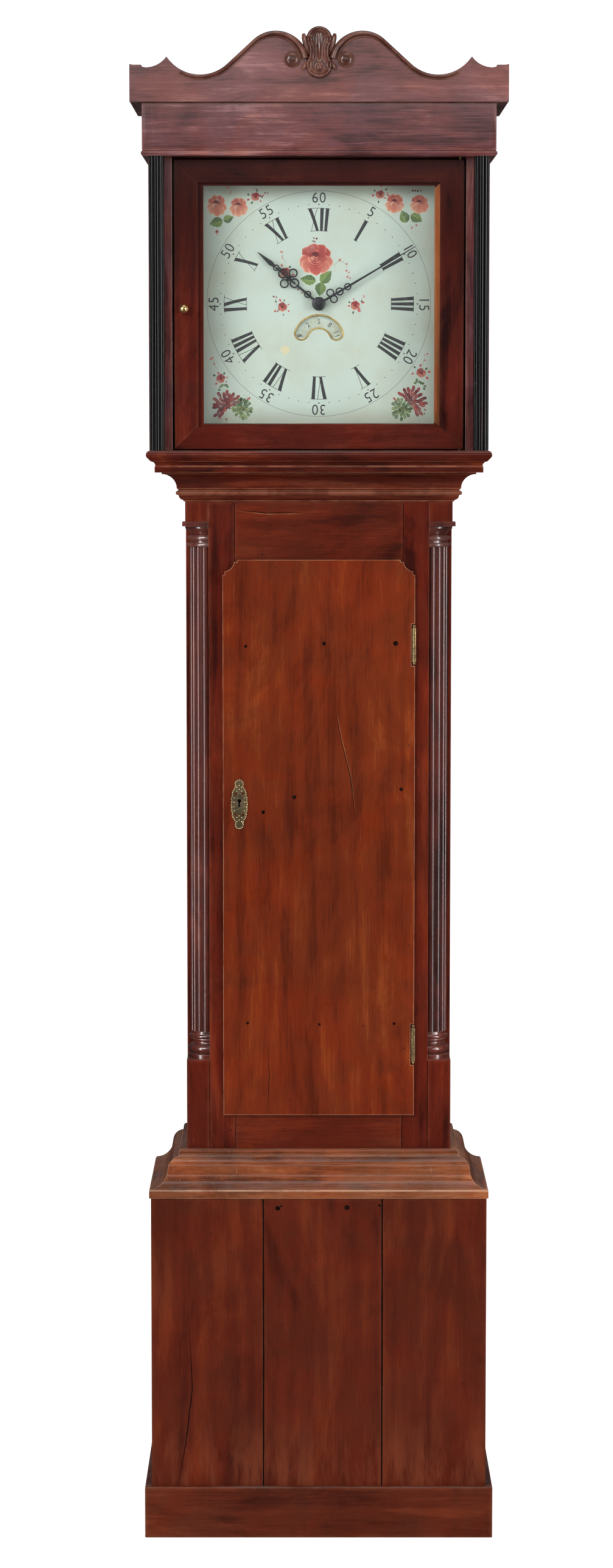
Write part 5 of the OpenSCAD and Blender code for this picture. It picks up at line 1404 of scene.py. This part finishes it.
# Runs of the endless rope: over the two pulleys, down to the weight, and down to the ring weight
def makeRopes():
    spread, pulley, ringX = ropeSizes["spread"], ropeSizes["pulley"], ropeSizes["ringRun"]
    cord = ropeSizes["cord"]  # half the thickness of the plain rope in the frame
    low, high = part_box("rope_over_pulleys")
    y, wheelZ = (low.y + high.y) / 2, low.z + ropeSizes["seat"]
    bends = [[(side * spread + px, y, wheelZ + pz) for px, pz in arc(0, 0, pulley, 0, 180, 24)]
        for side in (-1, 1)]
    settle(joinedRope("rope_bends", bends), None, "rope_over_pulleys")
    low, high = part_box("rope_inner")
    half = (high.x - low.x) / 2 - cord
    sheaveZ = low.z + half + cord
    loop = [(half, y, high.z), (half, y, sheaveZ)]
    loop += [(px, y, sheaveZ + pz) for px, pz in arc(0, 0, half, 0, -180, 24)][1:-1]
    loop += [(-half, y, sheaveZ), (-half, y, high.z)]
    inner = joinedRope("rope_loop_to_weight", [loop])
    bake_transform(inner)
    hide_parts("rope_inner")
    low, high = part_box("rope_outer")
    ringY, bightZ, outerX = low.y + cord, low.z + cord, spread + pulley
    outerPath = [(outerX, y, high.z), (ringX, ringY, bightZ), (-ringX, ringY, bightZ), (-outerX, y, high.z)]
    outer = joinedRope("rope_loop_to_ring", [outerPath])
    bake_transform(outer)
    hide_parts("rope_outer")


makeRopes()
print("ropes laid")


# Plugged nail holes and open cracks: thin pieces that lie on the board they belong to
marks = {"nail": 0.1 * mm, "sunk": -0.2 * mm, "crack": 0.06 * mm, "steps": 10, "drift": 0.35,
    "seamDrift": 0.08}


def makeNails(name, places, nodeName):
    surfaceY, proud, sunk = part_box(nodeName)[0].y, marks["nail"], marks["sunk"]
    mesh = bmesh.new()
    for x, z, radius in places:
        profile = [(0, sunk), (radius * mm, sunk), (radius * mm, proud * 0.6), (radius * 0.8 * mm, proud),
            (0, proud)]
        takeIn(mesh, lathe(profile, 20, facingFront(x * mm, surfaceY, z * mm)))
    writeGrain(mesh, name, 2)
    settle(smoothPiece(name, mesh, 40), openCrack, nodeName, False)


def makeCrack(name, points, width, nodeName, seed, seam=False, material=openCrack):
    dice = random.Random(seed)
    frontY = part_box(nodeName)[0].y - marks["crack"]
    drift = marks["seamDrift"] if seam else marks["drift"]
    mesh = bmesh.new()
    path = []
    for (x0, z0), (x1, z1) in zip(points, points[1:]):
        for i in range(marks["steps"]):
            share = i / marks["steps"]
            path.append((x0 + (x1 - x0) * share + dice.uniform(-drift, drift), z0 + (z1 - z0) * share))
    path.append(points[-1])
    upright = abs(points[-1][1] - points[0][1]) > abs(points[-1][0] - points[0][0])
    rows = []
    for i, (x, z) in enumerate(path):
        swell = 1.0 if seam else 0.2 + math.sin(math.pi * i / (len(path) - 1))
        half = width / 2 * swell * dice.uniform(0.7, 1.1)
        sideX, sideZ = (half, 0) if upright else (0, half)
        rows.append([mesh.verts.new(((x + way * sideX) * mm, frontY, (z + way * sideZ) * mm))
            for way in (-1, 1)])
    for first, second in zip(rows, rows[1:]):
        face = mesh.faces.new((first[0], first[1], second[1], second[0]))
        face.normal_update()
        if face.normal.y > 0:
            face.normal_flip()
    writeGrain(mesh, name, 2)
    settle(linked(name, meshData(name, mesh)), material, nodeName, False)


# A crack with the worn lip of wood beside it
def makeSplit(name, points, width, nodeName, seed, lip, lipWidth):
    makeCrack(name, points, width, nodeName, seed)
    beside = [(x + lip[0], z + lip[1]) for x, z in points]
    makeCrack(name + "_lip", beside, lipWidth, nodeName, seed, material=wood["wornMahogany"])


def ageBoards():
    makeNails("door_nails", [(-101, 1244, 2.2), (7, 1248, 2.6), (106, 1248, 3.4), (-34, 1035, 3.0),
        (-77, 1014, 2.6), (114, 1046, 2.6), (-99, 719, 2.0), (1, 717, 1.8), (105, 718, 2.0)], "trunk_door")
    makeSplit("door_split", [(24, 1152), (32, 1110), (44, 1062), (50, 1010)], 0.9, "trunk_door", 3,
        (1.2, 0), 1.3)
    makeCrack("door_shake", [(-70, 690), (-69, 640), (-71, 593)], 0.7, "trunk_door", 5)
    for index, x in enumerate((-77.0, 88.0)):
        makeCrack(f"base_seam_{index + 1}", [(x, 72), (x + 0.4, 280), (x, 479)], 2.2, "base_front_boards",
            30 + index, True)
    makeNails("base_nails", [(-57, 466, 3.4), (39, 467, 3.6), (-52, 469, 1.6), (84, 470, 1.8)],
        "base_front_boards")
    makeCrack("base_split", [(-180, 300), (-176, 210), (-186, 130), (-196, 73)], 1.4, "base_front_boards", 7)
    makeSplit("rail_split", [(-110, 1431), (-70, 1427), (-20, 1428)], 1.1, "trunk_rails", 9, (0, -1.4), 1.0)
    for index, (x, low, high) in enumerate(((-116, 1347, 1442), (116, 1347, 1442), (-116, 495, 588),
            (116, 495, 588), (-152, 495, 665), (152, 495, 665))):
        makeCrack(f"stile_seam_{index + 1}", [(x, low), (x, high)], 1.0, "trunk_stiles", 40 + index, True)


ageBoards()
print("boards aged")


# Finishes of the nodes that are shown as they are
carried = {
    "hood_door_pivots": metal["hingeBrass"], "lock_bolt": metal["filedSteel"], "bell": metal["bellMetal"],
    "movement_posts": metal["movementBrass"], "hour_wheel": metal["movementBrass"],
    "minute_arbor": metal["filedSteel"], "going_wheel": metal["movementBrass"],
    "strike_wheel": metal["movementBrass"], "second_wheel": metal["movementBrass"],
    "escape_wheel": metal["movementBrass"], "anchor": metal["filedSteel"],
    "pendulum_rod": metal["filedSteel"], "ring_weight": metal["castIron"], "dial_plate": dialPaint,
    "date_ring": datePaint, "glass_pane": oldGlass,
}
for nodeName, finish in carried.items():
    data = nodes[nodeName].data
    data.materials.clear()
    data.materials.append(finish)
    if nodeName not in ("glass_pane", "dial_plate"):
        smoothed(data, 35)
print("nodes finished:", len(carried))


# Stage, light and camera: what the camera sees directly or through the glass may be lighter than its light
def seenDirectly(path):
    return calc("MAXIMUM", path["Is Camera Ray"], path["Is Transmission Ray"]) * calc("LESS_THAN",
        path["Diffuse Depth"], 0.5)


def makeStage():
    settings = {"floor": (236, 236, 234), "mirrored": (60, 58, 56), "reach": 40.0, "glow": 0.76}
    mesh = bpy.data.meshes.new("paleFloor")
    reach, corners = settings["reach"], ((-1, -1), (1, -1), (1, 1), (-1, 1))
    mesh.from_pydata([(x * reach, y * reach, 0) for x, y in corners], [], [(0, 1, 2, 3)])
    material = startMaterial("paleFloor")
    path = node("LightPath", {})
    endMaterial(material, {"Roughness": 0.9, "Emission Color": (1, 1, 1, 1),
        "Base Color": mix(path["Is Glossy Ray"], rgb(*settings["floor"]), rgb(*settings["mirrored"])),
        "Emission Strength": seenDirectly(path) * settings["glow"]})
    mesh.materials.append(material)
    linked("paleFloor", mesh)


def areaLight(name, place, target, size, power, tall=None, seenIn="both"):
    data = bpy.data.lights.new(name, "AREA")
    data.shape, data.size, data.energy = "DISK" if tall is None else "RECTANGLE", size, power
    if tall is not None:
        data.size_y = tall
    light = linked(name, data)
    light.location = place
    light.rotation_euler = (Vector(target) - Vector(place)).to_track_quat("-Z", "Y").to_euler()
    light.visible_diffuse, light.visible_glossy = seenIn != "sheen", seenIn != "matt"


def makeLights():
    settings = {"tint": (0.95, 0.97, 1.0, 1), "ambient": 0.42, "mirrored": 0.07, "backdrop": 1.15}
    areaLight("keyLight", (-2.6, -3.6, 3.2), (0, 0, 1.2), 1.8, 100)
    areaLight("fillLight", (3.2, -3.2, 2.0), (0, 0, 1.0), 2.6, 52)
    areaLight("topLight", (0.2, -0.6, 4.2), (0, 0, 1.4), 2.2, 24)
    areaLight("leftStrip", (-2.0, -1.5, 1.3), (0, 0, 1.2), 0.3, 40, 2.4, "sheen")
    areaLight("rightStrip", (2.0, -1.3, 1.3), (0, 0, 1.2), 0.3, 34, 2.4, "sheen")
    areaLight("hoodSheen", (0, -3.7, 2.6), (0, 0, 1.95), 1.6, 9, 0.8)
    areaLight("backLight", (3.0, 3.6, 2.8), (0, 0, 1.1), 2.0, 60, None, "matt")
    world = bpy.data.worlds.new("softRoom")
    bpy.context.scene.world = world
    world.use_nodes = True
    pen["tree"] = world.node_tree
    background = world.node_tree.nodes["Background"]
    background.inputs["Color"].default_value = settings["tint"]
    path = node("LightPath", {})
    dimmed = between(path["Is Glossy Ray"], 0.0, 1.0, settings["ambient"], settings["mirrored"], "LINEAR")
    join(node("Mix", {0: seenDirectly(path), 2: dimmed, 3: settings["backdrop"]}, data_type="FLOAT"),
        background.inputs["Strength"])


def makeCamera():
    settings = {"place": (-0.017, -5.2, 1.566), "tilt": 84.3, "lens": 85.66}
    data = bpy.data.cameras.new("photoCamera")
    data.lens, data.sensor_width, data.sensor_fit = settings["lens"], 36.0, "AUTO"
    camera = linked("photoCamera", data)
    camera.location = settings["place"]
    camera.rotation_euler = (math.radians(settings["tilt"]), 0, 0)
    bpy.context.scene.camera = camera


makeStage()
makeLights()
makeCamera()
bpy.context.scene.view_settings.view_transform = "Standard"
print("stage, light and camera set")
